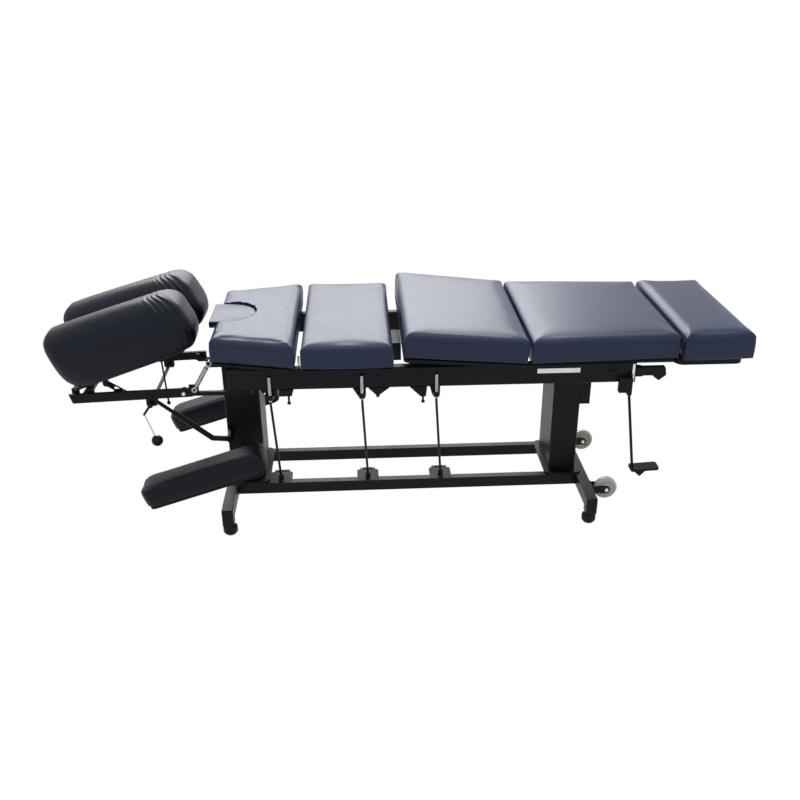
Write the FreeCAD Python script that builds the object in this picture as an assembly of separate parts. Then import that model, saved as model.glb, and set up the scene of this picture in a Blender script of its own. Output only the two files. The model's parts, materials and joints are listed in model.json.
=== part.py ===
import FreeCAD, Part
import os
import math

# Chiropractic drop table, in millimetres, +Z up, with the head end towards -X.
# The front is -Y. The long sections lie level, the pelvic section is shown cocked,
# and the head section is a tilting frame with two bolsters.

V = FreeCAD.Vector
SIDE = V(0, 1, 0)
ALONG = V(1, 0, 0)
UP = V(0, 0, 1)

# Clearances and small shared sizes
running_fit = 0.05
soft_gap = 0.3
cut_over = 2.0
open_pivot_play = 3.6
full_turn_deg = 360.0
quarter_turn_deg = 90.0
tube_wall = 2.5
thin_wall = 3.0

# Top frame
rail_top = 510.0
rail_height = 61.0
rail_width = 30.0
rail_outer = 245.0
rail_head_x = -503.0
rail_tail_x = 630.0
rail_corner = 5.0
rail_cap = 4.0

# Cushions
cushion_corner = 18.0
edge_round = 12.0
crown_reach = 58.0
cushion_height_shares = (0, 0.10, 0.60, 0.84, 0.94, 0.97, 1)
cushion_inset_shares = (0.45, 0.04, 0, 0.16, 0.62, 1.25, 0)
board_lift = 3.0
board_thick = 9.0
board_inset = 4.0
board_corner = 14.0

# Sections: head edge, tail edge, half widths there, height of the top
thoracic_head_x = -553.0
thoracic_tail_x = -317.0
thoracic_head_half = 220.0
thoracic_tail_half = 285.0
thoracic_top = 593.0
lumbar_head_x = -298.0
lumbar_tail_x = -48.5
lumbar_half = 290.0
lumbar_top = 590.5
pelvic_head_x = -30.0
pelvic_tail_x = 316.0
pelvic_head_half = 295.0
pelvic_tail_half = 281.0
pelvic_top = 596.5
pelvic_cock_deg = 5.05
leg_head_x = 326.0
leg_tail_x = 750.0
leg_head_half = 281.5
leg_tail_half = 258.0
leg_top = 593.0
leg_bottom = 519.0
foot_head_x = 757.0
foot_tail_x = 967.0
foot_head_half = 266.0
foot_tail_half = 258.0
foot_top = 593.0
foot_bottom = 512.0

# Throat insert in the thoracic cushion
insert_lip = 13.0
insert_tip_x = -440.0
insert_half = 80.0
insert_height = 18.0
insert_gap = 2.5
insert_round = 5.0

# Drop hinges of the three moving sections
hinge_inboard = 19.0
hinge_z = 498.0
hinge_pin = 5.0
hinge_eye = 10.0
lug_middle = 200.0
lug_thick = 8.0
hinge_plate = 6.0
hinge_plate_low = 462.0
collar_thick = 3.0
collar_extra = 3.0
bumper_radius = 9.0
bumper_inboard = 30.0
thoracic_bumper_inboard = 88.0

# Drop rods and pedals: place along the table of each
thoracic_rod_x = -391.0
thoracic_rod_foot_x = -385.0
lumbar_rod_x = -138.0
lumbar_rod_foot_x = -127.0
pelvic_rod_x = 69.0
pelvic_rod_foot_x = 91.0
drop_bar_radius = 5.0
drop_bar_stand_off = 8.0
drop_bar_top = 492.0
drop_bar_bottom = 418.0
drop_bar_chamfer = 1.0
drop_rod_radius = 3.5
drop_rod_neck = 8.0
guide_top = 437.0
guide_height = 12.0
guide_half = 11.0
guide_reach = 16.0
hanger_thick = 4.0
thoracic_hanger_reach = 26.0
lumbar_hanger_reach = 25.0
pelvic_hanger_reach = 18.0
thoracic_hanger_back = 19.0
hanger_back = 11.0

pedal_tread_y = -196.0
pedal_tread_depth = 70.0
pedal_tread_half = 32.0
pedal_tread_z = 122.0
pedal_tread_thick = 7.0
pedal_tread_corner = 7.0
pedal_pivot_y = -112.0
pedal_pivot_z = 118.0
pedal_pin = 4.0
pedal_arm_thick = 5.0
pedal_arm_eye = 9.0
pedal_block_half = 16.0
pedal_side_gap = 1.0
rod_foot_y = -170.0
rod_foot_z = 137.0
rod_pin = 2.5
rod_eye_wall = 3.2
rod_eye_thick = 6.0
rod_ear_thick = 3.0
rod_ear_gap = 1.2

# Brackets below the front rail, with their tension screws
thoracic_screw_x = -342.0
lumbar_screw_x = -94.0
pelvic_screw_x = 33.0
bracket_depth = 26.0
bracket_wall = 6.0
thoracic_bracket_z = 430.0
thoracic_bracket_half = 19.0
screw_radius = 3.0
screw_head = 5.0
screw_head_height = 5.0
thoracic_screw_z = 401.0
lumbar_screw_z = 418.0
pelvic_screw_z = 397.0
screw_top_z = 440.0

# Base
foot_x = 538.0
foot_width = 33.0
beam_low = 50.0
beam_height = 35.0
beam_middle = 104.3
beam_width = 23.0
foot_half = 272.0
leg_block_depth = 30.0
leg_block_low = 32.0
glide_radius = 21.0
glide_sole = 15.0
glide_neck = 14.0
glide_inward = 3.0
glide_sole_height = 8.0
glide_shoulder = 24.0
base_plate = 5.0
base_plate_half = 115.0
base_plate_reach = 16.0
base_plate_corner = 22.0
head_column_x = -545.0
head_column_length = 104.0
head_column_half = 72.0
head_column_top = 500.0
tail_column_x = 440.0
tail_column_length = 83.0
tail_column_half = 84.0
gusset_length = 31.0
gusset_half = 80.0
gusset_low = 309.0

# Cross tubes between the rails
cross_width = 34.0
cross_low = 460.0
cross_height = 40.0
thoracic_cross_x = -500.0
lumbar_cross_x = -124.0
pelvic_cross_x = 150.0
tail_cross_x = 596.0
centre_box_tail_x = -20.0
centre_box_half = 56.0
centre_box_low = 455.0
centre_box_high = 509.0

# Leg pad strips, foot slide
strip_inset = 3.0
strip_head_gap = 14.0
slide_middle = 150.0
slide_radius = 11.0
slide_tube_wall = 2.5
slide_drop = 4.0
sleeve_half = 15.0
sleeve_head_x = 430.0
sleeve_tail_x = 628.0
slide_head_x = 446.0
foot_plate_thick = 17.0
foot_plate_head_x = 750.0
foot_plate_tail_x = 945.0
foot_plate_half = 238.0
foot_plate_corner = 24.0
saddle_half = 10.0
saddle_inset = 40.0
saddle_length = 24.0

# Bare metal trims on the front rail and in the first gap
trim_thick = 2.0
trim_head_x = 352.0
trim_tail_x = 473.5
trim_middle_z = 490.0
trim_height = 13.6
end_trim_width = 7.0
gap_pin_x = -309.5
gap_pin_radius = 2.5
gap_pin_top = 545.0
bolt_top_share = 0.72
bolt_height = 3.0
hanger_bolt_x = -406.0
hanger_bolt_z = 441.0
hanger_bolt_radius = 3.5
wheel_bolt_radius = 7.0
wheel_bolt_height = 4.0

# Transport wheels
wheel_reach = 49.5
wheel_x = foot_x + foot_width / 2 + wheel_reach
wheel_y = 165.0
wheel_z = 63.0
wheel_radius = 35.0
wheel_width = 24.0
wheel_round = 6.0
wheel_dish = 4.0
wheel_dish_radius = 22.0
wheel_hub_radius = 9.0
axle_radius = 4.0
strap_thick = 4.0
strap_height = 24.0
strap_gap = 1.5
wheel_plate = 4.0
wheel_plate_low = 50.0
wheel_plate_height = 30.0

# Tail pedal and tail handle
tail_rod_x = 619.0
tail_rod_foot_x = 652.0
tail_rod_foot_z = 181.0
tail_rod_radius = 4.0
tail_rod_top = 478.0
tail_rod_bend = 410.0
tail_block_x = 586.0
tail_block_length = 48.0
tail_block_low = 416.0
tail_block_high = 468.0
tail_tread_length = 76.0
tail_tread_width = 42.0
tail_tread_thick = 7.0
tail_tread_lip = 20.0
tail_tread_tilt_deg = 3.0
handle_length = 91.0
handle_low = 465.0
handle_height = 25.0
handle_thick = 15.0
handle_drop = 16.0
handle_pivot_in = 16.0
handle_end_gap = 6.0
handle_pin = 4.0
handle_ear_thick = 5.0
handle_ear_gap = 1.0

# Head section: pivot of the tilting frame and its bars
tilt_x = -645.0
tilt_z = 405.0
tilt_pin = 5.0
tilt_pin_head = 9.0
tilt_pin_head_thick = 3.0
tilt_bolt_radius = 6.5
head_bar_inner = 140.0
head_bar_thick = 10.0
head_bar_tail_x = -620.0
head_bar_tail_low = 394.0
head_bar_tail_high = 419.0
head_bar_head_x = -965.0
head_bar_head_low = 381.0
head_bar_head_high = 408.0
head_bar_slant = 8.0
stub_inner = 128.0
stub_tail_x = -455.0
stub_height = 12.0
stub_z = 397.0
stub_eye = 11.0
stub_tie_x = -520.0
stub_tie_length = 24.0
head_cross_x = -928.0
head_cross_length = 20.0
head_cross_low = 383.0
head_cross_height = 12.0

# Lock strut below the head frame
lug_head_x = -753.0
lug_tail_x = -722.0
lug_low = 368.0
lug_corner = 6.0
shaft_x = -736.0
shaft_z = 379.0
shaft_radius = 5.0
strut_y = -128.0
strut_anchor_x = -531.0
strut_anchor_z = 246.0
strut_bend_x = -581.0
strut_bend_z = 250.0
strut_tube_radius = 8.0
strut_rod_radius = 5.5
strut_tube_share = 0.68
strut_overlap = 48.0
strut_bore_spare = 34.0
strut_eye_thick = 10.0
strut_eye_wall = 3.5
anchor_pin = 5.0
anchor_eye = 9.5
anchor_boss = 10.0
anchor_gap = 1.0

# Gas spring beside the tilt pivot
gas_y = -161.0
gas_low_x = -611.0
gas_low_z = 421.0
gas_high_x = -564.0
gas_high_z = 500.0
gas_radius = 6.5
gas_length = 62.0
gas_neck = 14.0
gas_rod_radius = 3.5
gas_rod_inside = 30.0
gas_bore_spare = 18.0
gas_pin = 3.0
gas_eye = 8.0
gas_eye_thick = 10.0
gas_play = 2.2
gas_top_eye_wall = 3.0
gas_ear_rise = 7.0
gas_plate_thick = 6.0
gas_ear_half = 9.0
gas_arm_height = 16.0

# Lock lever with its ball knob
lever_y = -157.0
lever_pivot_x = -741.0
lever_pivot_z = 374.0
lever_pin = 4.0
lever_hub = 8.0
lever_thick = 8.0
lever_hook_x = -762.0
lever_hook_z = 345.0
lever_hook_radius = 3.5
lever_rod_radius = 2.0
knob_x = -735.0
knob_z = 261.0
knob_radius = 16.5

# Face plate and its bolsters, on a slope that rises to the body
slope_deg = 19.3
slope_x = -627.0
slope_z = 535.5
face_plate_thick = 8.0
face_plate_head = 350.0
face_plate_tail = 8.0
face_plate_half = 140.0
face_plate_corner = 20.0
face_slot_head = 262.0
face_slot_tail = 30.0
face_slot_half = 26.0
bolster_y = 103.0
bolster_toe_deg = 2.4
bolster_height = 174.0
bolster_height_shares = (0, 0.17, 0.32, 0.58, 0.80, 0.90, 0.965, 1)
bolster_length = 416.0
bolster_head_shares = (0.74, 0.835, 0.85, 0.86, 0.86, 0.848, 0.822, 0.785)
bolster_tail_shares = (0, 0.10, 0.14, 0.128, 0.105, 0.085, 0.05, 0.005)
bolster_half = 80.0
bolster_half_shares = (0.76, 0.86, 0.93, 1, 0.96, 0.84, 0.62, 0.28)
bolster_corner_shares = (0.22, 0.30, 0.36, 0.40, 0.40, 0.36, 0.28, 0.12)

# Face plate hinge, stay and pull rod
plate_hinge_x = -952.0
plate_hinge_z = 393.0
plate_pin = 4.0
plate_lug_outer = 126.0
plate_lug_thick = 8.0
plate_lug_half = 10.0
post_x = -907.0
post_half = 10.0
post_inner = 128.0
post_low = 386.0
post_high = 423.0
stay_top_x = -864.0
stay_top_z = 430.0
stay_bolt_x = -829.0
stay_bolt_z = 407.0
stay_outer = 122.0
stay_thick = 4.0
stay_half = 8.0
stay_pin = 3.5
stay_play = 1.5
stay_slot_in = 12.0
stay_slot_out = 20.0
stay_end = 8.0
stay_lug_thick = 6.0
stay_lug_half = 8.0
stay_ear_inner = 128.0
stay_ear_half = 12.0
pull_y = -100.0
pull_top_x = -707.0
pull_bottom_x = -700.5
pull_bottom_z = 351.0
pull_radius = 2.5
pull_knob = 5.0
pull_knob_height = 8.0
pull_guide = 7.0
pull_guide_depth = 14.0

# Armrests
arm_y = 250.0
arm_half = 55.0
arm_length = 367.0
arm_pitch_deg = 17.5
arm_head_x = -775.0
arm_head_z = 168.0
arm_cushion = 56.0
arm_board = 9.0
arm_board_inset = 7.0
arm_corner = 40.0
arm_edge_round = 9.0
arm_crown_reach = 18.0
arm_pivot_x = -500.0
arm_pivot_z = 176.0
arm_tube_radius = 13.0
arm_tube_end = 262.0
arm_tube_wall = 2.0
arm_hub_radius = 16.0
arm_hub_length = 13.0
arm_hub_middle = 238.0
arm_hub_spread = 15.0
arm_web_half = 16.0


def block(x_low, x_high, y_low, y_high, z_low, z_high):
    """A box from its limits."""
    return Part.makeBox(x_high - x_low, y_high - y_low, z_high - z_low, V(x_low, y_low, z_low))


def mirrored(shape):
    """The same shape on the other side of the centre line."""
    return shape.mirror(V(0, 0, 0), SIDE)


def both_sides(shapes):
    """The shapes and their mirror images, as separate solids."""
    return Part.makeCompound(list(shapes) + [mirrored(shape) for shape in shapes])


def across(x, z, y_start, y_end, radius):
    """A round bar along Y."""
    return Part.makeCylinder(radius, abs(y_end - y_start), V(x, min(y_start, y_end), z), SIDE)


def between(start, end, radius):
    """A round bar from one point to another."""
    return Part.makeCylinder(radius, (end - start).Length, start, end - start)


def rounded_wire(points, radii):
    """A closed wire through the points, with an arc at each corner."""
    corners = []
    for index, here in enumerate(points):
        before = (points[index - 1] - here).normalize()
        after = (points[(index + 1) % len(points)] - here).normalize()
        half_angle = before.getAngle(after) / 2
        radius = radii[index]
        reach = radius / math.tan(half_angle)
        middle = here + (before + after).normalize() * (radius / math.sin(half_angle) - radius)
        corners.append((here + before * reach, middle, here + after * reach))
    edges = []
    for index, (first, middle, last) in enumerate(corners):
        edges.append(Part.Arc(first, middle, last).toShape())
        edges.append(Part.makeLine(last, corners[(index + 1) % len(corners)][0]))
    return Part.Wire(edges)


def slab(points, radius, travel):
    """A plate with rounded corners."""
    return Part.Face(rounded_wire(points, [radius] * len(points))).extrude(travel)


def polygon_slab(points, travel):
    """A plate with sharp corners."""
    return Part.Face(Part.makePolygon(points + [points[0]])).extrude(travel)


def box_tube(shape, inner):
    """A hollow section: the outer box less the inner one."""
    return shape.cut(inner)


def plan(x_head, x_tail, half_head, half_tail, inset, z):
    """Four corners of a section's outline, drawn in by an inset."""
    return [
        V(x_head + inset, inset - half_head, z),
        V(x_tail - inset, inset - half_tail, z),
        V(x_tail - inset, half_tail - inset, z),
        V(x_head + inset, half_head - inset, z),
    ]


def cushion(x_head, x_tail, half_head, half_tail, bottom, top, corner, rounding, crown):
    """A padded block: drawn in at its foot, full at its sides, rounded edge and low crown."""
    wires = []
    for height_share, inset_share in zip(cushion_height_shares, cushion_inset_shares):
        inset = rounding * inset_share
        if height_share == 1:
            inset = crown
        z = bottom + (top - bottom) * height_share
        wires.append(rounded_wire(plan(x_head, x_tail, half_head, half_tail, inset, z), [corner] * 4))
    return Part.makeLoft(wires, True, True)


def board(x_head, x_tail, half_head, half_tail):
    """The board below a moving section."""
    low = rail_top + board_lift
    points = plan(x_head, x_tail, half_head, half_tail, board_inset, low)
    return slab(points, board_corner, UP * board_thick)


def turned(shape, x, z, degrees):
    """A copy turned about a line along Y. Positive degrees lift the head side."""
    copy = shape.copy()
    copy.rotate(V(x, 0, z), SIDE, degrees)
    return copy


# Moving sections


def section_board(x_head, x_tail, half_head, half_tail):
    """A board with its two hinge lugs, bored for the hinge pins."""
    hinge_x = x_tail - hinge_inboard
    low = rail_top + board_lift
    y_low = lug_middle - lug_thick / 2
    lug = block(hinge_x - hinge_eye, hinge_x + hinge_eye, y_low, y_low + lug_thick, hinge_z, low)
    lug = lug.fuse(across(hinge_x, hinge_z, y_low, y_low + lug_thick, hinge_eye))
    lug = lug.cut(across(hinge_x, hinge_z, 0, rail_outer, hinge_pin + running_fit))
    plate = board(x_head, x_tail, half_head, half_tail)
    return plate.fuse([lug, mirrored(lug)]).removeSplitter()


def section_cushion(x_head, x_tail, half_head, half_tail, top):
    bottom = rail_top + board_lift + board_thick
    return cushion(x_head, x_tail, half_head, half_tail, bottom, top,
                   cushion_corner, edge_round, crown_reach)


def throat_wire(x_open, x_tip, half, z):
    """A U outline, open end towards the head, with a half round tip."""
    centre = x_tip - half
    slant = half / math.sqrt(2)
    head_low = V(x_open, -half, z)
    tail_low = V(centre, -half, z)
    tip = V(x_tip, 0, z)
    tail_high = V(centre, half, z)
    head_high = V(x_open, half, z)
    return Part.Wire([
        Part.makeLine(head_low, tail_low),
        Part.Arc(tail_low, V(centre + slant, -slant, z), tip).toShape(),
        Part.Arc(tip, V(centre + slant, slant, z), tail_high).toShape(),
        Part.makeLine(tail_high, head_high),
        Part.makeLine(head_high, head_low),
    ])


def thoracic_pad():
    """The thoracic cushion with the recess for the throat insert."""
    pad = section_cushion(
        thoracic_head_x, thoracic_tail_x, thoracic_head_half, thoracic_tail_half, thoracic_top)
    floor = thoracic_top - insert_height - soft_gap
    open_x = thoracic_head_x - insert_lip
    wire = throat_wire(open_x, insert_tip_x + insert_gap, insert_half + insert_gap, floor)
    return pad.cut(Part.Face(wire).extrude(UP * (insert_height + cut_over)))


def throat_insert():
    """The loose throat pad, with its edge rounded over."""
    open_x = thoracic_head_x - insert_lip
    low = thoracic_top - insert_height
    wires = []
    insets = (insert_round / 2, 0, 0, insert_round / 2, insert_round)
    levels = (low, low + insert_round / 2, thoracic_top - insert_round,
              thoracic_top - insert_round / 4, thoracic_top)
    for inset, z in zip(insets, levels):
        wires.append(throat_wire(open_x + inset, insert_tip_x - inset, insert_half - inset, z))
    return Part.makeLoft(wires, True, True)


def pelvic_hinge_x():
    return pelvic_tail_x - hinge_inboard


def cocked(shape):
    """The pelvic section as shown: its head end lifted about the drop hinge."""
    return turned(shape, pelvic_hinge_x(), hinge_z, pelvic_cock_deg)


def leg_pad():
    return cushion(leg_head_x, leg_tail_x, leg_head_half, leg_tail_half, leg_bottom, leg_top,
                   cushion_corner, edge_round, crown_reach)


def foot_pad():
    return cushion(foot_head_x, foot_tail_x, foot_head_half, foot_tail_half, foot_bottom, foot_top,
                   cushion_corner, edge_round, crown_reach)


def slide_z():
    """Height of the slide tubes' axis, a little clear of the carrier plate."""
    return foot_bottom - foot_plate_thick - slide_drop - slide_radius


def foot_plate():
    """The foot section's carrier plate on its two slide tubes."""
    low = foot_bottom - foot_plate_thick
    points = plan(foot_plate_head_x, foot_plate_tail_x, foot_plate_half, foot_plate_half, 0, low)
    plate = slab(points, foot_plate_corner, UP * foot_plate_thick)
    centre_z = slide_z()
    tube_end = foot_plate_tail_x - saddle_inset
    pieces = []
    for x in (foot_plate_head_x + saddle_inset, tube_end - saddle_length):
        pieces.append(block(x, x + saddle_length, slide_middle - saddle_half, slide_middle + saddle_half,
                            centre_z, low))
    start = V(slide_head_x, slide_middle, centre_z)
    length = tube_end - slide_head_x
    tube = Part.makeCylinder(slide_radius, length, start, ALONG)
    hollow = Part.makeCylinder(slide_radius - slide_tube_wall, length - slide_tube_wall, start, ALONG)
    side = tube.fuse(pieces).cut(hollow)
    return plate.fuse([side, mirrored(side)]).removeSplitter()


def slide_sleeves():
    """Square sleeves under the leg pad that guide the slide tubes."""
    centre_z = slide_z()
    sleeve = block(sleeve_head_x, sleeve_tail_x, slide_middle - sleeve_half, slide_middle + sleeve_half,
                   centre_z - sleeve_half, centre_z + sleeve_half)
    bore = Part.makeCylinder(slide_radius + running_fit, sleeve_tail_x - sleeve_head_x + cut_over * 2,
                             V(sleeve_head_x - cut_over, slide_middle, centre_z), ALONG)
    return both_sides([sleeve.cut(bore)])


# Top frame


def side_rail():
    """One hollow side rail with rounded long edges, on the +Y side."""
    low = rail_top - rail_height
    inner_y = rail_outer - rail_width
    length = rail_tail_x - rail_head_x
    x = rail_head_x
    outer = [V(x, inner_y, low), V(x, rail_outer, low), V(x, rail_outer, rail_top), V(x, inner_y, rail_top)]
    body = slab(outer, rail_corner, ALONG * length)
    hollow = block(x - cut_over, rail_tail_x + cut_over, inner_y + tube_wall, rail_outer - tube_wall,
                   low + tube_wall, rail_top - tube_wall)
    return body.cut(hollow)


def cross_tube(x, y_low, y_high, z_low, height, width):
    """A hollow cross member, open at its ends."""
    outer = block(x, x + width, y_low, y_high, z_low, z_low + height)
    hollow = block(x + tube_wall, x + width - tube_wall, y_low - cut_over, y_high + cut_over,
                   z_low + tube_wall, z_low + height - tube_wall)
    return outer.cut(hollow)


def frame_cross_tubes():
    """All cross members, and the arm that carries the gas spring."""
    inner = rail_outer - rail_width
    low = rail_top - rail_height
    stub = cross_tube(thoracic_cross_x, head_column_half, inner, cross_low, cross_height, cross_width)
    full = []
    for x in (lumbar_cross_x, pelvic_cross_x):
        full.append(cross_tube(x, -inner, inner, cross_low, cross_height, cross_width))
    for x, width in ((tail_column_x, tail_column_length), (tail_cross_x, cross_width)):
        full.append(cross_tube(x, -inner, inner, low, slide_z() - sleeve_half - low, width))
    plate_back = gas_y + gas_eye_thick / 2 + gas_pin
    plate_front = plate_back + gas_plate_thick
    arm_top = cross_low + cross_height
    arm = block(gas_high_x - gas_ear_half, thoracic_cross_x, plate_back, plate_front,
                arm_top - gas_arm_height, arm_top)
    ear = block(gas_high_x - gas_ear_half, gas_high_x + gas_ear_half, plate_back, plate_front,
                arm_top - gas_arm_height, gas_high_z + gas_ear_rise)
    pin = across(gas_high_x, gas_high_z, gas_y - gas_eye_thick / 2 - gas_pin, plate_back, gas_pin)
    carrier = arm.fuse(ear).removeSplitter()
    start = lumbar_cross_x + cross_width
    outer = block(start, centre_box_tail_x, -centre_box_half, centre_box_half,
                  centre_box_low, centre_box_high)
    hollow = block(start - cut_over, centre_box_tail_x - thin_wall, thin_wall - centre_box_half,
                   centre_box_half - thin_wall, centre_box_low + thin_wall, centre_box_high - thin_wall)
    return Part.makeCompound([stub, mirrored(stub), carrier, pin, outer.cut(hollow)] + full)


def rail_caps():
    """Plastic caps in the open rail ends, and the rubber bumpers under the boards."""
    low = rail_top - rail_height
    inner_y = rail_outer - rail_width
    pieces = []
    head = block(rail_head_x - rail_cap, rail_head_x, inner_y, rail_outer, low, rail_top)
    tail = block(rail_tail_x, rail_tail_x + rail_cap, inner_y, rail_outer, low, rail_top)
    pieces.extend([head, mirrored(head), tail])
    for x in (thoracic_head_x + thoracic_bumper_inboard, lumbar_head_x + bumper_inboard,
              pelvic_head_x + bumper_inboard):
        bumper = Part.makeCylinder(bumper_radius, board_lift - soft_gap,
                                   V(x, inner_y + rail_width / 2, rail_top), UP)
        pieces.extend([bumper, mirrored(bumper)])
    return Part.makeCompound(pieces)


def leg_strips():
    """Packing strips between the rails and the leg pad."""
    inner_y = rail_outer - rail_width
    strip = block(leg_head_x + strip_head_gap, rail_tail_x, inner_y + strip_inset, rail_outer - strip_inset,
                  rail_top, leg_bottom - soft_gap)
    return both_sides([strip])


def bolt_head(place, outward, radius, height):
    """A low domed bolt head that stands on a face."""
    return Part.makeCone(radius, radius * bolt_top_share, height, place, outward)


def bolt_heads():
    """The bright bolt heads: one on a hanger, two on the tilt pins, four on the wheel axles."""
    heads = [bolt_head(V(hanger_bolt_x, -rail_outer, hanger_bolt_z), -SIDE, hanger_bolt_radius, bolt_height)]
    tilt_y = tilt_cap_y() + tilt_pin_head_thick
    reach = wheel_width / 2 + strap_gap + strap_thick
    pairs = [bolt_head(V(tilt_x, tilt_y, tilt_z), SIDE, tilt_bolt_radius, bolt_height)]
    for way in (-1, 1):
        place = V(wheel_x, wheel_y + way * reach, wheel_z)
        pairs.append(bolt_head(place, SIDE * way, wheel_bolt_radius, wheel_bolt_height))
    return heads + pairs + [mirrored(head) for head in pairs]


def tilt_cap_y():
    """How far out the washer of a tilt pin starts."""
    return head_bar_inner + head_bar_thick + soft_gap * 2


def trims():
    """Bare metal: two trims on the front rail, the pin in the first gap and the bolt heads."""
    y = -rail_outer
    low = rail_top - rail_height
    half = trim_height / 2
    corner_z = rail_top - rail_corner
    strip = block(trim_head_x, trim_tail_x, y - trim_thick, y, trim_middle_z - half, trim_middle_z + half)
    end = block(rail_tail_x - end_trim_width, rail_tail_x, y - trim_thick, y, low + rail_corner, corner_z)
    pin_foot = V(gap_pin_x, y + rail_width / 2, rail_top)
    pin = Part.makeCylinder(gap_pin_radius, gap_pin_top - rail_top, pin_foot, UP)
    return Part.makeCompound([strip, end, pin] + bolt_heads())


def hinge_bracket(x_tail):
    """The fixed half of one drop hinge: a plate on the rail's inner face, pin and collar."""
    x = x_tail - hinge_inboard
    inner = rail_outer - rail_width
    plate = block(x - hinge_eye, x + hinge_eye, inner - hinge_plate, inner, hinge_plate_low, hinge_z)
    plate = plate.fuse(across(x, hinge_z, inner - hinge_plate, inner, hinge_eye))
    end = lug_middle - lug_thick / 2 - collar_thick
    pin = across(x, hinge_z, end, inner, hinge_pin)
    collar = across(x, hinge_z, end - collar_thick, end, hinge_pin + collar_extra)
    return plate.fuse([pin, collar]).removeSplitter()


def rod_guide(x, reach, back):
    """The tapered hanger below the rail with the bored block that guides one drop bar."""
    y = -rail_outer
    low = rail_top - rail_height
    bottom = guide_top - guide_height
    hanger = polygon_slab([V(x - reach, y, low), V(x - guide_half, y, bottom),
                           V(x + guide_half, y, bottom), V(x + back, y, low)], SIDE * hanger_thick)
    front_half = guide_half - hanger_thick
    outline = [V(x - guide_half, y, bottom), V(x + guide_half, y, bottom),
               V(x + front_half, y - guide_reach, bottom), V(x - front_half, y - guide_reach, bottom)]
    guide = slab(outline, pedal_side_gap, UP * guide_height)
    bore = Part.makeCylinder(drop_bar_radius + running_fit, guide_height + cut_over * 2,
                             V(x, y - drop_bar_stand_off, bottom - cut_over), UP)
    return hanger.fuse(guide).cut(bore).removeSplitter()


def screw_bracket(x, points):
    """A pressed bracket below the front rail, drawn in the side view, bored for its screw."""
    y = -rail_outer
    outline = [V(px, y, pz) for px, pz in points]
    body = polygon_slab(outline, SIDE * bracket_depth)
    low = min(pz for px, pz in points)
    bore_foot = V(x, y + bracket_depth / 2, low - cut_over)
    bore = Part.makeCylinder(screw_radius + running_fit, rail_height, bore_foot, UP)
    return body.cut(bore)


def thoracic_bracket():
    low = rail_top - rail_height
    x = thoracic_screw_x
    left = x - thoracic_bracket_half - bracket_wall
    right = x + thoracic_bracket_half / 2
    return screw_bracket(x, [(left, low), (left, thoracic_bracket_z), (right, thoracic_bracket_z),
                             (right + bracket_wall, low)])


def lumbar_bracket():
    low = rail_top - rail_height
    x = lumbar_screw_x
    tip = low - bracket_depth + bracket_wall
    return screw_bracket(x, [(x - bracket_depth, low), (x - bracket_wall, tip), (x + bracket_wall, tip),
                             (x + bracket_depth + bracket_wall, low)])


def pelvic_bracket():
    low = rail_top - rail_height
    x = pelvic_screw_x
    bottom = low - bracket_depth - bracket_wall / 2
    return screw_bracket(x, [(x - bracket_depth - guide_half, low),
                             (x - bracket_wall - pedal_side_gap, bottom),
                             (x + bracket_wall + pedal_side_gap, bottom), (x + guide_half, low)])


def tension_screw(x, bottom):
    """A vertical adjusting screw with a knurled foot below its bracket."""
    y = -rail_outer + bracket_depth / 2
    shank = Part.makeCylinder(screw_radius, screw_top_z - bottom, V(x, y, bottom), UP)
    return shank.fuse(Part.makeCylinder(screw_head, screw_head_height, V(x, y, bottom), UP)).removeSplitter()


def tail_bracket():
    """The guide block of the tail pedal rod, on the outside of the front rail."""
    y = -rail_outer
    reach = drop_bar_stand_off * 2 + trim_thick
    tail = tail_block_x + tail_block_length - end_trim_width - rail_cap
    body = block(tail_block_x, tail, y - reach, y, tail_block_low, tail_block_high)
    relief_end = tail_rod_x - tail_rod_radius - hanger_thick
    relief = block(tail_block_x - cut_over, relief_end, y - reach - cut_over,
                   y + cut_over, tail_block_low - cut_over, tail_block_low + hanger_thick * 2)
    bore = Part.makeCylinder(tail_rod_radius + running_fit, tail_block_high - tail_block_low + cut_over * 2,
                             V(tail_rod_x, y - reach / 2, tail_block_low - cut_over), UP)
    return body.cut([relief, bore])


def handle_middle_y():
    return rail_width / 2 - rail_outer


def handle_clevis():
    """End plate of the front rail with two ears and the pin of the tail handle."""
    y = handle_middle_y()
    low = rail_top - rail_height
    start = rail_tail_x + rail_cap
    plate = block(rail_tail_x, start, -rail_outer, rail_width - rail_outer, low, rail_top)
    half = handle_thick / 2 + handle_ear_gap
    x = start + handle_pivot_in
    z = handle_low + handle_height / 2
    ear_half = handle_height / 2
    parts = []
    for side in (-1, 1):
        inner = y + side * half
        outer = y + side * (half + handle_ear_thick)
        ear = block(start, x, min(inner, outer), max(inner, outer), z - ear_half, z + ear_half)
        parts.append(ear.fuse(across(x, z, inner, outer, ear_half)))
    parts.append(across(x, z, y - half - handle_ear_thick, y + half + handle_ear_thick, handle_pin))
    return plate.fuse(parts).removeSplitter()


def tail_handle():
    """The release handle: a flat bar whose outer end turns down."""
    y = handle_middle_y() - handle_thick / 2
    start = rail_tail_x + rail_cap + handle_end_gap
    end = rail_tail_x + rail_cap + handle_length
    low = handle_low
    high = handle_low + handle_height
    turn = handle_height
    tip_x = end - turn / 2 - handle_drop / 2
    outline = [V(start, y, low), V(end - turn - handle_drop, y, low), V(tip_x, y, low - handle_drop),
               V(end, y, low), V(end - hanger_thick, y, high), V(start, y, high)]
    body = slab(outline, hanger_thick, SIDE * handle_thick)
    x = rail_tail_x + rail_cap + handle_pivot_in
    z = handle_low + handle_height / 2
    return body.cut(across(x, z, y - cut_over, y + handle_thick + cut_over, handle_pin + running_fit))


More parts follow.
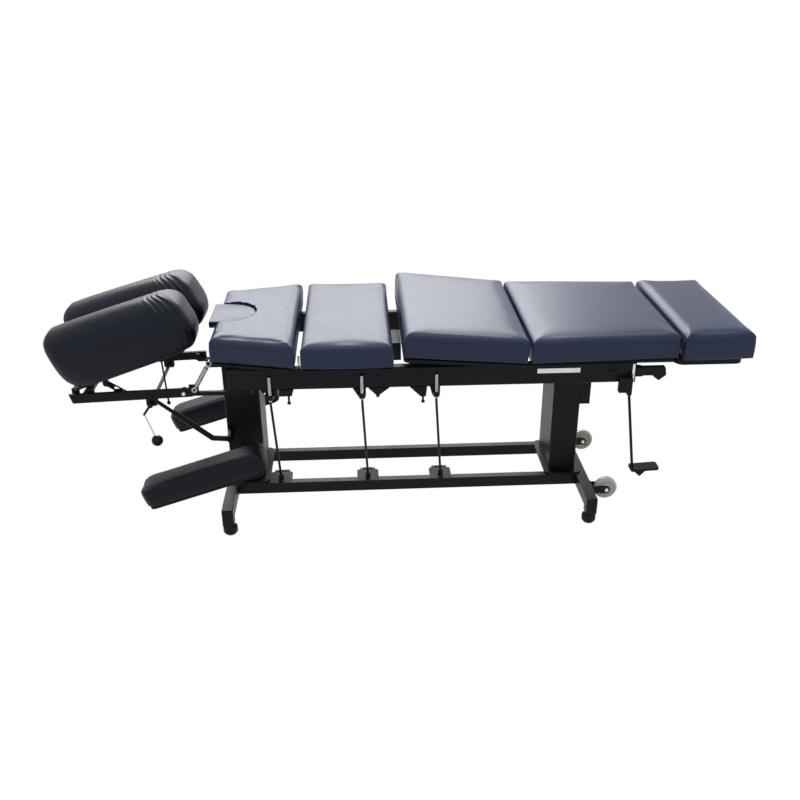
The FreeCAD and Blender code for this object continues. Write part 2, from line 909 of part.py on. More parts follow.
def rail_brackets():
    """Every bracket that is bolted to the rails."""
    pieces = []
    for x_tail in (thoracic_tail_x, lumbar_tail_x, pelvic_tail_x):
        hinge = hinge_bracket(x_tail)
        pieces.extend([hinge, mirrored(hinge)])
    pieces.append(rod_guide(thoracic_rod_x, thoracic_hanger_reach, thoracic_hanger_back))
    pieces.append(rod_guide(lumbar_rod_x, lumbar_hanger_reach, hanger_back))
    pieces.append(rod_guide(pelvic_rod_x, pelvic_hanger_reach, hanger_back))
    pieces.extend([thoracic_bracket(), lumbar_bracket(), pelvic_bracket(), tail_bracket(), handle_clevis()])
    return Part.makeCompound(pieces)


# Drop rods and pedals


def drop_bar(x):
    """The bright upper bar of a drop linkage."""
    y = -rail_outer - drop_bar_stand_off
    bar = Part.makeCylinder(drop_bar_radius, drop_bar_top - drop_bar_bottom, V(x, y, drop_bar_bottom), UP)
    return bar.makeChamfer(drop_bar_chamfer, [bar.Edges[0], bar.Edges[2]])


def drop_rod(x, foot):
    """The thin rod from the bar down to the pedal, ending in an eye."""
    y = -rail_outer - drop_bar_stand_off
    neck = V(x, y, drop_bar_bottom - drop_rod_neck)
    eye_hole = rod_pin + open_pivot_play
    eye_radius = eye_hole + rod_eye_wall
    centre = V(foot, rod_foot_y, rod_foot_z)
    start = V(foot - rod_eye_thick / 2, rod_foot_y, rod_foot_z)
    lower = centre + (neck - centre).normalize() * (eye_hole + rod_eye_wall / 2)
    rod = Part.makeCylinder(drop_rod_radius, drop_rod_neck, neck, UP)
    rod = rod.fuse([Part.makeSphere(drop_rod_radius, neck), between(lower, neck, drop_rod_radius),
                    Part.makeCylinder(eye_radius, rod_eye_thick, start, ALONG)])
    hole = Part.makeCylinder(eye_hole, rod_eye_thick + cut_over * 4, start - ALONG * cut_over * 2, ALONG)
    return rod.cut(hole).removeSplitter()


def pedal(foot):
    """A rocking tread on two arms, with two ears and the pin that takes the rod's eye."""
    low = pedal_tread_z
    high = low + pedal_tread_thick
    back = pedal_tread_y + pedal_tread_depth
    left = foot - pedal_tread_half
    right = foot + pedal_tread_half
    outline = [V(left, pedal_tread_y, low), V(right, pedal_tread_y, low),
               V(right, back, low), V(left, back, low)]
    tread = slab(outline, pedal_tread_corner, UP * pedal_tread_thick)
    parts = []
    bores = []
    for side in (-1, 1):
        x = foot + side * (pedal_block_half + pedal_side_gap + pedal_arm_thick / 2) - pedal_arm_thick / 2
        arm = polygon_slab([V(x, pedal_pivot_y - pedal_arm_eye, pedal_pivot_z),
                            V(x, pedal_pivot_y, pedal_pivot_z + pedal_arm_eye),
                            V(x, back, high), V(x, back - pedal_tread_depth / 2, low),
                            V(x, back - pedal_arm_eye, pedal_pivot_z - pedal_arm_eye / 2)],
                           ALONG * pedal_arm_thick)
        eye = Part.makeCylinder(pedal_arm_eye, pedal_arm_thick, V(x, pedal_pivot_y, pedal_pivot_z), ALONG)
        parts.extend([arm, eye])
        start = V(x - cut_over, pedal_pivot_y, pedal_pivot_z)
        depth = pedal_arm_thick + cut_over * 2
        bores.append(Part.makeCylinder(pedal_pin + running_fit, depth, start, ALONG))
        near = foot + side * (rod_eye_thick / 2 + rod_ear_gap + rod_ear_thick / 2) - rod_ear_thick / 2
        ear_half = rod_pin + rod_eye_wall
        ear = block(near, near + rod_ear_thick, rod_foot_y - ear_half, rod_foot_y + ear_half,
                    high - rod_ear_gap, rod_foot_z)
        top = Part.makeCylinder(ear_half, rod_ear_thick, V(near, rod_foot_y, rod_foot_z), ALONG)
        parts.extend([ear, top])
    reach = rod_eye_thick / 2 + rod_ear_gap + rod_ear_thick
    parts.append(Part.makeCylinder(rod_pin, reach * 2, V(foot - reach, rod_foot_y, rod_foot_z), ALONG))
    pocket_half = rod_eye_thick / 2 + rod_ear_gap
    eye_radius = rod_pin + open_pivot_play * 2 + rod_eye_wall
    pocket_start = V(foot - pocket_half, rod_foot_y, rod_foot_z)
    pocket = Part.makeCylinder(eye_radius, pocket_half * 2, pocket_start, ALONG)
    body = tread.cut(pocket).fuse(parts)
    return body.cut(bores).removeSplitter()


def pedal_block(foot):
    """The block on the front beam that carries one pedal's pin."""
    top = beam_low + beam_height
    y_front = -beam_middle - beam_width / 2
    y_back = -beam_middle + beam_width / 2
    body = block(foot - pedal_block_half, foot + pedal_block_half, y_front, y_back, top, pedal_pivot_z)
    body = body.fuse(Part.makeCylinder(pedal_pin * 2, pedal_block_half * 2,
                                       V(foot - pedal_block_half, pedal_pivot_y, pedal_pivot_z), ALONG))
    reach = pedal_block_half + pedal_side_gap + pedal_arm_thick + pedal_side_gap * 2
    pin = Part.makeCylinder(pedal_pin, reach * 2, V(foot - reach, pedal_pivot_y, pedal_pivot_z), ALONG)
    return body.fuse(pin).removeSplitter()


def tail_pedal_y():
    return -rail_outer - drop_bar_stand_off - trim_thick / 2


def tail_pedal():
    """The tail pedal: guided rod, bent leg and tread with a turned down lip."""
    y = tail_pedal_y()
    bend = V(tail_rod_x, y, tail_rod_bend)
    foot = V(tail_rod_foot_x, y, tail_rod_foot_z)
    rod = Part.makeCylinder(tail_rod_radius, tail_rod_top - tail_rod_bend, bend, UP)
    leg = between(foot, bend, tail_rod_radius)
    ball = Part.makeSphere(tail_rod_radius, bend)
    low = tail_rod_foot_z - tail_tread_thick
    outline = [V(tail_rod_foot_x - tail_tread_thick, y - tail_tread_width / 2, low),
               V(tail_rod_foot_x + tail_tread_length, y - tail_tread_width / 2, low),
               V(tail_rod_foot_x + tail_tread_length, y + tail_tread_width / 2, low),
               V(tail_rod_foot_x - tail_tread_thick, y + tail_tread_width / 2, low)]
    tread = slab(outline, tail_tread_thick, UP * tail_tread_thick)
    lip_x = tail_rod_foot_x
    lip_y = y - tail_tread_width / 2 + tail_tread_thick
    lip = polygon_slab([V(lip_x, lip_y, low), V(lip_x + tail_tread_lip * 2, lip_y, low),
                        V(lip_x + tail_tread_lip, lip_y, low - tail_tread_lip)],
                       SIDE * (tail_tread_width - tail_tread_thick * 2))
    plate = tread.fuse(lip)
    plate.rotate(foot, SIDE, -tail_tread_tilt_deg)
    return rod.fuse([ball, leg, plate]).removeSplitter()


# Base


def long_beam():
    """One of the two low beams between the cross feet, on the +Y side."""
    end = foot_x - foot_width / 2
    y = beam_middle - beam_width / 2
    outer = block(-end, end, y, y + beam_width, beam_low, beam_low + beam_height)
    inner = block(-end - cut_over, end + cut_over, y + tube_wall, y + beam_width - tube_wall,
                  beam_low + tube_wall, beam_low + beam_height - tube_wall)
    return box_tube(outer, inner)


def cross_foot(sign):
    """A hollow cross tube with a short leg block at each end."""
    x = sign * foot_x
    half = foot_width / 2
    top = beam_low + beam_height
    end = foot_half - leg_block_depth
    outer = block(x - half, x + half, -end, end, beam_low, top)
    inner = block(x - half + tube_wall, x + half - tube_wall, -end, end,
                  beam_low + tube_wall, top - tube_wall)
    y = foot_half
    outline = [V(x - half, y, leg_block_low), V(x + half, y, leg_block_low),
               V(x + half, y, top), V(x - half, y, top)]
    leg = slab(outline, tube_wall, -SIDE * leg_block_depth)
    return box_tube(outer, inner).fuse([leg, mirrored(leg)]).removeSplitter()


def glide_place(sign):
    return sign * (foot_x - glide_inward), foot_half - leg_block_depth / 2


def levelling_feet():
    """Four rubber glides, each turned, under the leg blocks."""
    profile = [V(0, 0, 0), V(glide_sole, 0, 0), V(glide_radius, 0, glide_sole_height),
               V(glide_radius, 0, glide_shoulder), V(glide_neck, 0, leg_block_low), V(0, 0, leg_block_low)]
    turned_foot = Part.Face(Part.makePolygon(profile + [profile[0]])).revolve(V(0, 0, 0), UP, full_turn_deg)
    pieces = []
    for sign in (-1, 1):
        x, y = glide_place(sign)
        foot = turned_foot.translated(V(x, y, 0))
        pieces.extend([foot, mirrored(foot)])
    return Part.makeCompound(pieces)


def column(x, length, half, top):
    """A hollow upright on its base plate, as one welded piece."""
    low = beam_low + beam_height
    foot = low + base_plate
    end = x + length
    points = plan(x - base_plate_reach, end + base_plate_reach, base_plate_half, base_plate_half, 0, low)
    plate = slab(points, base_plate_corner, UP * base_plate)
    outer = slab(plan(x, end, half, half, 0, foot), rail_corner, UP * (top - foot))
    inner = block(x + thin_wall, end - thin_wall, thin_wall - half, half - thin_wall, foot, top - thin_wall)
    return outer.cut(inner).fuse(plate).removeSplitter()


def head_column():
    """The head upright with the boss that anchors the lock strut."""
    body = column(head_column_x, head_column_length, head_column_half, head_column_top)
    shoulder = strut_y + strut_eye_thick / 2 + anchor_gap
    boss = across(strut_anchor_x, strut_anchor_z, shoulder, thin_wall - head_column_half, anchor_boss)
    end = strut_y - strut_eye_thick / 2 - anchor_gap
    pin = across(strut_anchor_x, strut_anchor_z, end, shoulder, anchor_pin)
    washer = across(strut_anchor_x, strut_anchor_z, end - anchor_gap * 2, end, anchor_pin + anchor_gap * 2)
    return body.fuse([boss, pin, washer]).removeSplitter()


def tail_column():
    return column(tail_column_x, tail_column_length, tail_column_half, rail_top - rail_height)


def gusset_box():
    """The open backed housing on the tail side of the tail upright."""
    x = tail_column_x + tail_column_length
    top = rail_top - rail_height
    outer = slab(plan(x, x + gusset_length, gusset_half, gusset_half, 0, gusset_low),
                 tube_wall, UP * (top - gusset_low))
    inner_half = gusset_half - thin_wall
    inner = block(x - cut_over, x + gusset_length - thin_wall, -inner_half, inner_half,
                  gusset_low + thin_wall, top - thin_wall)
    return outer.cut(inner)


def wheel():
    """One transport wheel, on the +Y side: rounded tread and dished sides."""
    half = wheel_width / 2
    bore = axle_radius + running_fit
    profile = [V(bore, 0, -half), V(wheel_hub_radius, 0, -half),
               V(wheel_hub_radius + wheel_dish, 0, wheel_dish - half),
               V(wheel_dish_radius, 0, wheel_dish - half), V(wheel_dish_radius + wheel_dish, 0, -half),
               V(wheel_radius - wheel_round, 0, -half), V(wheel_radius, 0, wheel_round - half),
               V(wheel_radius, 0, half - wheel_round), V(wheel_radius - wheel_round, 0, half),
               V(wheel_dish_radius + wheel_dish, 0, half), V(wheel_dish_radius, 0, half - wheel_dish),
               V(wheel_hub_radius + wheel_dish, 0, half - wheel_dish),
               V(wheel_hub_radius, 0, half), V(bore, 0, half)]
    solid = Part.Face(Part.makePolygon(profile + [profile[0]])).revolve(V(0, 0, 0), UP, full_turn_deg)
    solid.rotate(V(0, 0, 0), ALONG, quarter_turn_deg)
    return solid.translated(V(wheel_x, wheel_y, wheel_z))


def wheel_brackets():
    """Plates on the tail cross foot, each with two straps and the axle of a wheel."""
    start = foot_x + foot_width / 2
    strap_start = start + wheel_plate
    half = wheel_width / 2 + strap_gap
    low = wheel_z - strap_height / 2
    near = wheel_y - half - strap_thick
    far = wheel_y + half + strap_thick
    pieces = [block(start, strap_start, near, far, wheel_plate_low, wheel_plate_low + wheel_plate_height)]
    for y in (near, far - strap_thick):
        strap = block(strap_start, wheel_x, y, y + strap_thick, low, low + strap_height)
        pieces.append(strap.fuse(across(wheel_x, wheel_z, y, y + strap_thick, strap_height / 2)))
    pieces.append(across(wheel_x, wheel_z, near, far, axle_radius))
    bracket = pieces[0].fuse(pieces[1:]).removeSplitter()
    return both_sides([bracket])


# Head section


def stub_bars():
    """The fixed bars beside the head upright that carry the tilt pins."""
    low = stub_z - stub_height / 2
    high = low + stub_height
    bar = block(tilt_x, stub_tail_x, stub_inner, stub_inner + head_bar_thick, low, high)
    disc = across(tilt_x, tilt_z, stub_inner, stub_inner + head_bar_thick, stub_eye)
    tie = block(stub_tie_x, stub_tie_x + stub_tie_length, head_column_half, stub_inner, low, high)
    outer = tilt_cap_y()
    pin = across(tilt_x, tilt_z, stub_inner, outer, tilt_pin)
    cap = across(tilt_x, tilt_z, outer, outer + tilt_pin_head_thick, tilt_pin_head)
    side = bar.fuse([disc, tie, pin, cap]).removeSplitter()
    return both_sides([side])


def head_bar():
    """One tilting side bar on the +Y side, with its lock lug, bored for the tilt pin."""
    y = head_bar_inner
    low_corner = V(head_bar_head_x + head_bar_slant, y, head_bar_head_low)
    outline = [V(head_bar_tail_x, y, head_bar_tail_low), V(head_bar_tail_x, y, head_bar_tail_high),
               V(head_bar_head_x, y, head_bar_head_high), low_corner]
    bar = polygon_slab(outline, SIDE * head_bar_thick)
    top = head_bar_head_high
    lug = slab([V(lug_head_x, y, lug_low), V(lug_tail_x, y, lug_low),
                V(lug_tail_x, y, top - lug_corner), V(lug_head_x, y, top - lug_corner)],
               lug_corner, SIDE * head_bar_thick)
    bore = across(tilt_x, tilt_z, y - cut_over, y + head_bar_thick + cut_over, tilt_pin + running_fit)
    return bar.fuse(lug).cut(bore).removeSplitter()


def plate_side_pieces():
    """What one side bar carries for the face plate: hinge pin, post and stay bolt."""
    inner = plate_lug_outer - plate_lug_thick
    pin = across(plate_hinge_x, plate_hinge_z, inner - collar_thick, head_bar_inner, plate_pin)
    post = block(post_x - post_half, post_x + post_half, post_inner, head_bar_inner, post_low, post_high)
    ear_top = stay_bolt_z + stay_half
    ear_low = head_bar_head_low + stay_half
    ear = block(stay_bolt_x - stay_ear_half, stay_bolt_x + stay_ear_half, stay_ear_inner, head_bar_inner,
                ear_low, ear_top)
    bolt = across(stay_bolt_x, stay_bolt_z, stay_outer - stay_thick - stay_pin, stay_ear_inner, stay_pin)
    return [pin, post, ear, bolt]


def head_frame():
    """The tilting frame: side bars, cross members and everything they carry."""
    pieces = [head_bar()] + plate_side_pieces()
    pieces = pieces + [mirrored(piece) for piece in pieces]
    pieces.append(block(head_cross_x - head_cross_length / 2, head_cross_x + head_cross_length / 2,
                        -head_bar_inner, head_bar_inner, head_cross_low, head_cross_low + head_cross_height))
    pieces.append(across(shaft_x, shaft_z, -head_bar_inner, head_bar_inner, shaft_radius))
    y = -head_bar_inner - head_bar_thick
    plate = block(gas_low_x - gas_ear_half * 2, gas_low_x + gas_ear_half, y, y + gas_plate_thick,
                  head_bar_tail_low + gas_pin, gas_low_z + gas_ear_half)
    slot = block(head_bar_head_x, head_bar_tail_x, y - cut_over, y + gas_plate_thick + cut_over,
                 head_bar_head_low, head_bar_tail_high)
    gas_peg = across(gas_low_x, gas_low_z, y, gas_y - gas_eye_thick / 2 - gas_pin, gas_pin)
    pieces.append(plate.cut(slot).fuse(gas_peg).removeSplitter())
    lever_end = lever_y - lever_thick / 2 - lever_pin / 2
    pieces.append(across(lever_pivot_x, lever_pivot_z, y, lever_end, lever_pin))
    return Part.makeCompound(pieces)


def strut_points():
    """Anchor, bend and upper eye of the lock strut."""
    anchor = V(strut_anchor_x, strut_y, strut_anchor_z)
    bend = V(strut_bend_x, strut_y, strut_bend_z)
    eye = V(shaft_x, strut_y, shaft_z)
    return anchor, bend, eye


def strut_split():
    """Where the strut's outer tube ends, and the direction of its straight run."""
    anchor, bend, eye = strut_points()
    return bend + (eye - bend) * strut_tube_share, (eye - bend).normalize()


def strut_tube():
    """The bent outer tube of the lock strut with its lower eye."""
    anchor, bend, eye = strut_points()
    mouth, direction = strut_split()
    half = strut_eye_thick / 2
    body = between(anchor, bend, strut_tube_radius)
    body = body.fuse([Part.makeSphere(strut_tube_radius, bend), between(bend, mouth, strut_tube_radius),
                      across(anchor.x, anchor.z, strut_y - half, strut_y + half, anchor_eye)])
    trim = []
    for side in (-1, 1):
        start = strut_y + side * half
        trim.append(across(anchor.x, anchor.z, start, start + side * anchor_boss, anchor_boss + anchor_gap))
    hole = across(anchor.x, anchor.z, strut_y - anchor_boss, strut_y + anchor_boss, anchor_pin + running_fit)
    depth = strut_overlap + strut_bore_spare
    bore_start = mouth - direction * depth
    bore = Part.makeCylinder(strut_rod_radius + running_fit, depth + cut_over, bore_start, direction)
    return body.cut(trim + [hole, bore]).removeSplitter()


def strut_rod():
    """The inner rod of the lock strut with its upper eye round the shaft."""
    anchor, bend, eye = strut_points()
    mouth, direction = strut_split()
    hole_radius = shaft_radius + open_pivot_play
    eye_radius = hole_radius + strut_eye_wall
    start = mouth - direction * strut_overlap
    end = eye - direction * (hole_radius + strut_eye_wall / 2)
    body = between(start, end, strut_rod_radius)
    half = strut_eye_thick / 2
    body = body.fuse(across(eye.x, eye.z, strut_y - half, strut_y + half, eye_radius))
    hole = across(eye.x, eye.z, strut_y - half - cut_over, strut_y + half + cut_over, hole_radius)
    return body.cut(hole).removeSplitter()


def gas_points():
    """Lower and upper pin centres of the gas spring, and its direction."""
    low = V(gas_low_x, gas_y, gas_low_z)
    high = V(gas_high_x, gas_y, gas_high_z)
    return low, high, (high - low).normalize()


def gas_cylinder():
    """The gas spring's cylinder, with the lower eye."""
    low, high, direction = gas_points()
    half = gas_eye_thick / 2
    neck = low + direction * gas_neck
    mouth = neck + direction * gas_length
    body = between(neck, mouth, gas_radius)
    body = body.fuse([across(low.x, low.z, gas_y - half, gas_y + half, gas_eye),
                      between(low + direction * (gas_pin + gas_play), neck, gas_rod_radius)])
    hole = across(low.x, low.z, gas_y - half - cut_over, gas_y + half + cut_over, gas_pin + running_fit)
    depth = gas_rod_inside + gas_bore_spare
    bore_start = mouth - direction * depth
    bore = Part.makeCylinder(gas_rod_radius + running_fit, depth + cut_over, bore_start, direction)
    return body.cut([hole, bore]).removeSplitter()


def gas_rod():
    """The gas spring's rod, with the upper eye."""
    low, high, direction = gas_points()
    half = gas_eye_thick / 2
    mouth = low + direction * (gas_neck + gas_length)
    hole_radius = gas_pin + gas_play
    start = mouth - direction * gas_rod_inside
    end = high - direction * (hole_radius + gas_top_eye_wall / 2)
    body = between(start, end, gas_rod_radius)
    body = body.fuse(across(high.x, high.z, gas_y - half, gas_y + half, hole_radius + gas_top_eye_wall))
    hole = across(high.x, high.z, gas_y - half - cut_over, gas_y + half + cut_over, hole_radius)
    return body.cut(hole).removeSplitter()


def lock_lever():
    """The lock lever: hub, hooked arm, thin rod and ball knob."""
    half = lever_thick / 2
    hub = across(lever_pivot_x, lever_pivot_z, lever_y - half, lever_y + half, lever_hub)
    pivot = V(lever_pivot_x, lever_y, lever_pivot_z)
    hook = V(lever_hook_x, lever_y, lever_hook_z)
    knob = V(knob_x, lever_y, knob_z)
    arm = between(pivot, hook, lever_hook_radius)
    rod = between(hook, knob, lever_rod_radius)
    ball = Part.makeSphere(knob_radius, knob)
    joint = Part.makeSphere(lever_hook_radius, hook)
    hole = across(lever_pivot_x, lever_pivot_z, lever_y - half - cut_over, lever_y + half + cut_over,
                  lever_pin + running_fit)
    return hub.fuse([arm, joint, rod, ball]).cut(hole).removeSplitter()


# Face plate and bolsters


def on_slope(shape):
    """Moves a shape drawn level, with its origin at the slope's lower tail corner, into place."""
    copy = shape.copy()
    copy.rotate(V(0, 0, 0), SIDE, -slope_deg)
    return copy.translated(V(slope_x, 0, slope_z))


def plate_under(x):
    """Height of the face plate's underside above a place along the table."""
    angle = math.radians(slope_deg)
    return slope_z + (x - slope_x) * math.tan(angle) - face_plate_thick / math.cos(angle)


def face_plate():
    """The sloping plate with its face slot, hinge lugs, stay lugs and pull rod guide."""
    low = -face_plate_thick
    points = plan(-face_plate_head, -face_plate_tail, face_plate_half, face_plate_half, 0, low)
    plate = slab(points, face_plate_corner, UP * face_plate_thick)
    slot = slab(plan(-face_slot_head, -face_slot_tail, face_slot_half, face_slot_half, 0, low - cut_over),
                face_slot_half - soft_gap, UP * (face_plate_thick + cut_over * 2))
    body = on_slope(plate.cut(slot))
    parts = []
    inner = plate_lug_outer - plate_lug_thick
    top = plate_under(plate_hinge_x) + face_plate_thick / 2
    lug = block(plate_hinge_x - plate_lug_half, plate_hinge_x + plate_lug_half, inner, plate_lug_outer,
                plate_hinge_z, top)
    lug = lug.fuse(across(plate_hinge_x, plate_hinge_z, inner, plate_lug_outer, plate_lug_half))
    hole = across(plate_hinge_x, plate_hinge_z, 0, rail_outer, plate_pin + running_fit)
    parts.extend([lug.cut(hole), mirrored(lug.cut(hole))])
    stay_top = plate_under(stay_top_x) + face_plate_thick / 2
    outer = stay_outer + soft_gap * 2
    stay_lug = block(stay_top_x - stay_lug_half, stay_top_x + stay_lug_half, outer, outer + stay_lug_thick,
                     stay_top_z, stay_top)
    pin_start = stay_outer - stay_thick - stay_pin
    stay_lug = stay_lug.fuse([across(stay_top_x, stay_top_z, outer, outer + stay_lug_thick, stay_lug_half),
                              across(stay_top_x, stay_top_z, pin_start, outer, stay_pin)])
    parts.extend([stay_lug, mirrored(stay_lug)])
    guide_z = plate_under(pull_top_x) - pull_guide_depth
    guide_foot = V(pull_top_x, pull_y, guide_z)
    guide = Part.makeCylinder(pull_guide, pull_guide_depth + face_plate_thick / 2, guide_foot, UP)
    whole = body.fuse(parts + [guide])
    return whole.cut(pull_bore()).removeSplitter()


def pull_axis():
    """Top and bottom of the pull rod."""
    top = V(pull_top_x, pull_y, plate_under(pull_top_x))
    bottom = V(pull_bottom_x, pull_y, pull_bottom_z)
    return top, bottom


def pull_bore():
    """The blind bore for the pull rod in the plate's guide."""
    top, bottom = pull_axis()
    direction = (top - bottom).normalize()
    start = top - direction * (pull_guide_depth + pull_guide)
    return Part.makeCylinder(pull_radius + running_fit, pull_guide_depth + pull_guide, start, direction)


def pull_rod():
    """The thin pull rod with its small knob."""
    top, bottom = pull_axis()
    direction = (top - bottom).normalize()
    rod = between(bottom, top - direction * soft_gap, pull_radius)
    knob = Part.makeCylinder(pull_knob, pull_knob_height, bottom, direction)
    return rod.fuse(knob).removeSplitter()


def bolster():
    """One head bolster on the +Y side: narrow base, bulging ends and a rounded crest."""
    wires = []
    rows = zip(bolster_height_shares, bolster_head_shares, bolster_tail_shares, bolster_half_shares,
               bolster_corner_shares)
    for height_share, head_share, tail_share, half_share, corner_share in rows:
        z = bolster_height * height_share
        half = bolster_half * half_share
        points = plan(-bolster_length * head_share, bolster_length * tail_share, half, half, 0, z)
        wires.append(rounded_wire(points, [bolster_half * corner_share] * 4))
    solid = Part.makeLoft(wires, True, True)
    solid.rotate(V(-bolster_length / 2, 0, 0), UP, -bolster_toe_deg)
    return on_slope(solid.translated(V(0, bolster_y, 0)))


def plate_stay():
    """The slotted stays between the face plate and the frame, one on each side."""
    top = V(stay_top_x, stay_outer - stay_thick, stay_top_z)
    bolt = V(stay_bolt_x, stay_outer - stay_thick, stay_bolt_z)
    run = (bolt - top).Length
    direction = (bolt - top).normalize()
    normal = V(-direction.z, 0, direction.x)
    end = top + direction * (run + stay_slot_out + stay_end)
    head = top - direction * stay_half
    across_strip = normal * stay_half
    strip = slab([head - across_strip, end - across_strip, end + across_strip, head + across_strip],
                 stay_half / 2, SIDE * stay_thick)
    play = stay_pin + stay_play
    inner = top + direction * (run - stay_slot_in)
    outer = top + direction * (run + stay_slot_out - play)
    side = normal * play
    slot = polygon_slab([inner - side, outer - side, outer + side, inner + side], SIDE * stay_thick)
    ends = [Part.makeCylinder(play, stay_thick, place, SIDE) for place in (inner, outer)]
    hole = Part.makeCylinder(stay_pin + running_fit, stay_thick, top, SIDE)
    return both_sides([strip.cut([slot, hole] + ends)])


# Armrests


def arm_placed(shape):
    """Moves an armrest piece, drawn level with its top head edge at the origin, into place."""
    copy = shape.copy()
    copy.rotate(V(0, 0, 0), SIDE, -arm_pitch_deg)
    return copy.translated(V(arm_head_x, arm_y, arm_head_z))


def arm_pad():
    """An armrest cushion with a rounded head end."""
    wires = []
    for height_share, inset_share in zip(cushion_height_shares, cushion_inset_shares):
        inset = arm_edge_round * inset_share
        if height_share == 1:
            inset = arm_crown_reach
        z = arm_cushion * (height_share - 1)
        points = plan(0, arm_length, arm_half, arm_half, inset, z)
        head = arm_corner - inset
        tail = arm_corner / 2
        wires.append(rounded_wire(points, [head, tail, tail, head]))
    return arm_placed(Part.makeLoft(wires, True, True))


def arm_under(x):
    """Height of the armrest board's underside above a place along the table."""
    angle = math.radians(arm_pitch_deg)
    return arm_head_z + (x - arm_head_x) * math.tan(angle) - (arm_cushion + arm_board) / math.cos(angle)


def arm_carrier():
    """The armrest board with two hubs that turn on the armrest tube."""
    low = -arm_cushion - arm_board
    points = plan(0, arm_length, arm_half, arm_half, arm_board_inset, low)
    plate = slab(points, arm_corner / 2, UP * arm_board)
    body = arm_placed(plate)
    parts = []
    left = arm_pivot_x - arm_web_half
    right = arm_pivot_x + arm_web_half
    for side in (-1, 1):
        y_low = arm_hub_middle + side * arm_hub_spread - arm_hub_length / 2
        parts.append(across(arm_pivot_x, arm_pivot_z, y_low, y_low + arm_hub_length, arm_hub_radius))
        outline = [V(left, y_low, arm_pivot_z), V(right, y_low, arm_pivot_z),
                   V(right, y_low, arm_under(right) + arm_board / 2),
                   V(left, y_low, arm_under(left) + arm_board / 2)]
        parts.append(polygon_slab(outline, SIDE * arm_hub_length))
    bore = across(arm_pivot_x, arm_pivot_z, 0, arm_tube_end + cut_over, arm_tube_radius + running_fit)
    return body.fuse(parts).cut(bore).removeSplitter()


def arm_tube():
    """The round tubes on the head upright that carry the armrests."""
    tube = across(arm_pivot_x, arm_pivot_z, head_column_half, arm_tube_end, arm_tube_radius)
    hollow = across(arm_pivot_x, arm_pivot_z, head_column_half, arm_tube_end - arm_tube_wall,
                    arm_tube_radius - arm_tube_wall)
    return both_sides([tube.cut(hollow)])


def all_nodes():
    """Every sub-part under its name."""
    nodes = {}
    rail = side_rail()
    nodes["front_side_rail"] = mirrored(rail)
    nodes["rear_side_rail"] = rail
    nodes["frame_cross_tubes"] = frame_cross_tubes()
    nodes["rail_caps"] = rail_caps()
    nodes["leg_strips"] = leg_strips()
    nodes["trims"] = trims()
    nodes["rail_brackets"] = rail_brackets()
    nodes["slide_sleeves"] = slide_sleeves()
    beam = long_beam()
    foots = (thoracic_rod_foot_x, lumbar_rod_foot_x, pelvic_rod_foot_x)
    nodes["front_long_beam"] = Part.makeCompound([mirrored(beam)] + [pedal_block(foot) for foot in foots])
    nodes["rear_long_beam"] = beam
    nodes["head_cross_foot"] = cross_foot(-1)
    nodes["tail_cross_foot"] = cross_foot(1)
    nodes["levelling_feet"] = levelling_feet()
    nodes["head_column"] = head_column()
    nodes["tail_column"] = tail_column()
    nodes["tail_gusset_box"] = gusset_box()
    nodes["wheel_brackets"] = wheel_brackets()
    nodes["head_stub_bars"] = stub_bars()
    nodes["armrest_tubes"] = arm_tube()
    nodes["leg_pad"] = leg_pad()
    thoracic = (thoracic_head_x, thoracic_tail_x, thoracic_head_half, thoracic_tail_half)
    lumbar = (lumbar_head_x, lumbar_tail_x, lumbar_half, lumbar_half)
    pelvic = (pelvic_head_x, pelvic_tail_x, pelvic_head_half, pelvic_tail_half)
    nodes["thoracic_pad"] = thoracic_pad()
    nodes["thoracic_board"] = section_board(*thoracic)
    nodes["throat_insert"] = throat_insert()
    nodes["lumbar_pad"] = section_cushion(*lumbar, lumbar_top)
    nodes["lumbar_board"] = section_board(*lumbar)
    nodes["pelvic_pad"] = cocked(section_cushion(*pelvic, pelvic_top))
    nodes["pelvic_board"] = cocked(section_board(*pelvic))
    nodes["foot_pad"] = foot_pad()
    nodes["foot_plate"] = foot_plate()
    linkages = (
        ("thoracic", thoracic_rod_x, thoracic_rod_foot_x, thoracic_screw_x, thoracic_screw_z),
        ("lumbar", lumbar_rod_x, lumbar_rod_foot_x, lumbar_screw_x, lumbar_screw_z),
        ("pelvic", pelvic_rod_x, pelvic_rod_foot_x, pelvic_screw_x, pelvic_screw_z),
    )
    for name, bar_x, foot, screw_x, screw_bottom in linkages:
        nodes[name + "_drop_bar"] = drop_bar(bar_x)
        nodes[name + "_drop_rod"] = drop_rod(bar_x, foot)
        nodes[name + "_pedal"] = pedal(foot)
        nodes[name + "_tension_screw"] = tension_screw(screw_x, screw_bottom)
    nodes["tail_pedal"] = tail_pedal()
    nodes["tail_handle"] = tail_handle()
    nodes["head_frame"] = head_frame()
    nodes["face_plate"] = face_plate()
    rear = bolster()
    nodes["front_bolster"] = mirrored(rear)
    nodes["rear_bolster"] = rear
    nodes["plate_stays"] = plate_stay()
    nodes["pull_rod"] = pull_rod()
    nodes["lock_strut_tube"] = strut_tube()
    nodes["lock_strut_rod"] = strut_rod()
    nodes["gas_cylinder"] = gas_cylinder()
    nodes["gas_rod"] = gas_rod()
    nodes["lock_lever"] = lock_lever()
    carrier = arm_carrier()
    pad = arm_pad()
    nodes["front_armrest_carrier"] = mirrored(carrier)
    nodes["rear_armrest_carrier"] = carrier
    nodes["front_armrest_pad"] = mirrored(pad)
    nodes["rear_armrest_pad"] = pad
    rolling = wheel()
    nodes["front_wheel"] = mirrored(rolling)
    nodes["rear_wheel"] = rolling
    return nodes


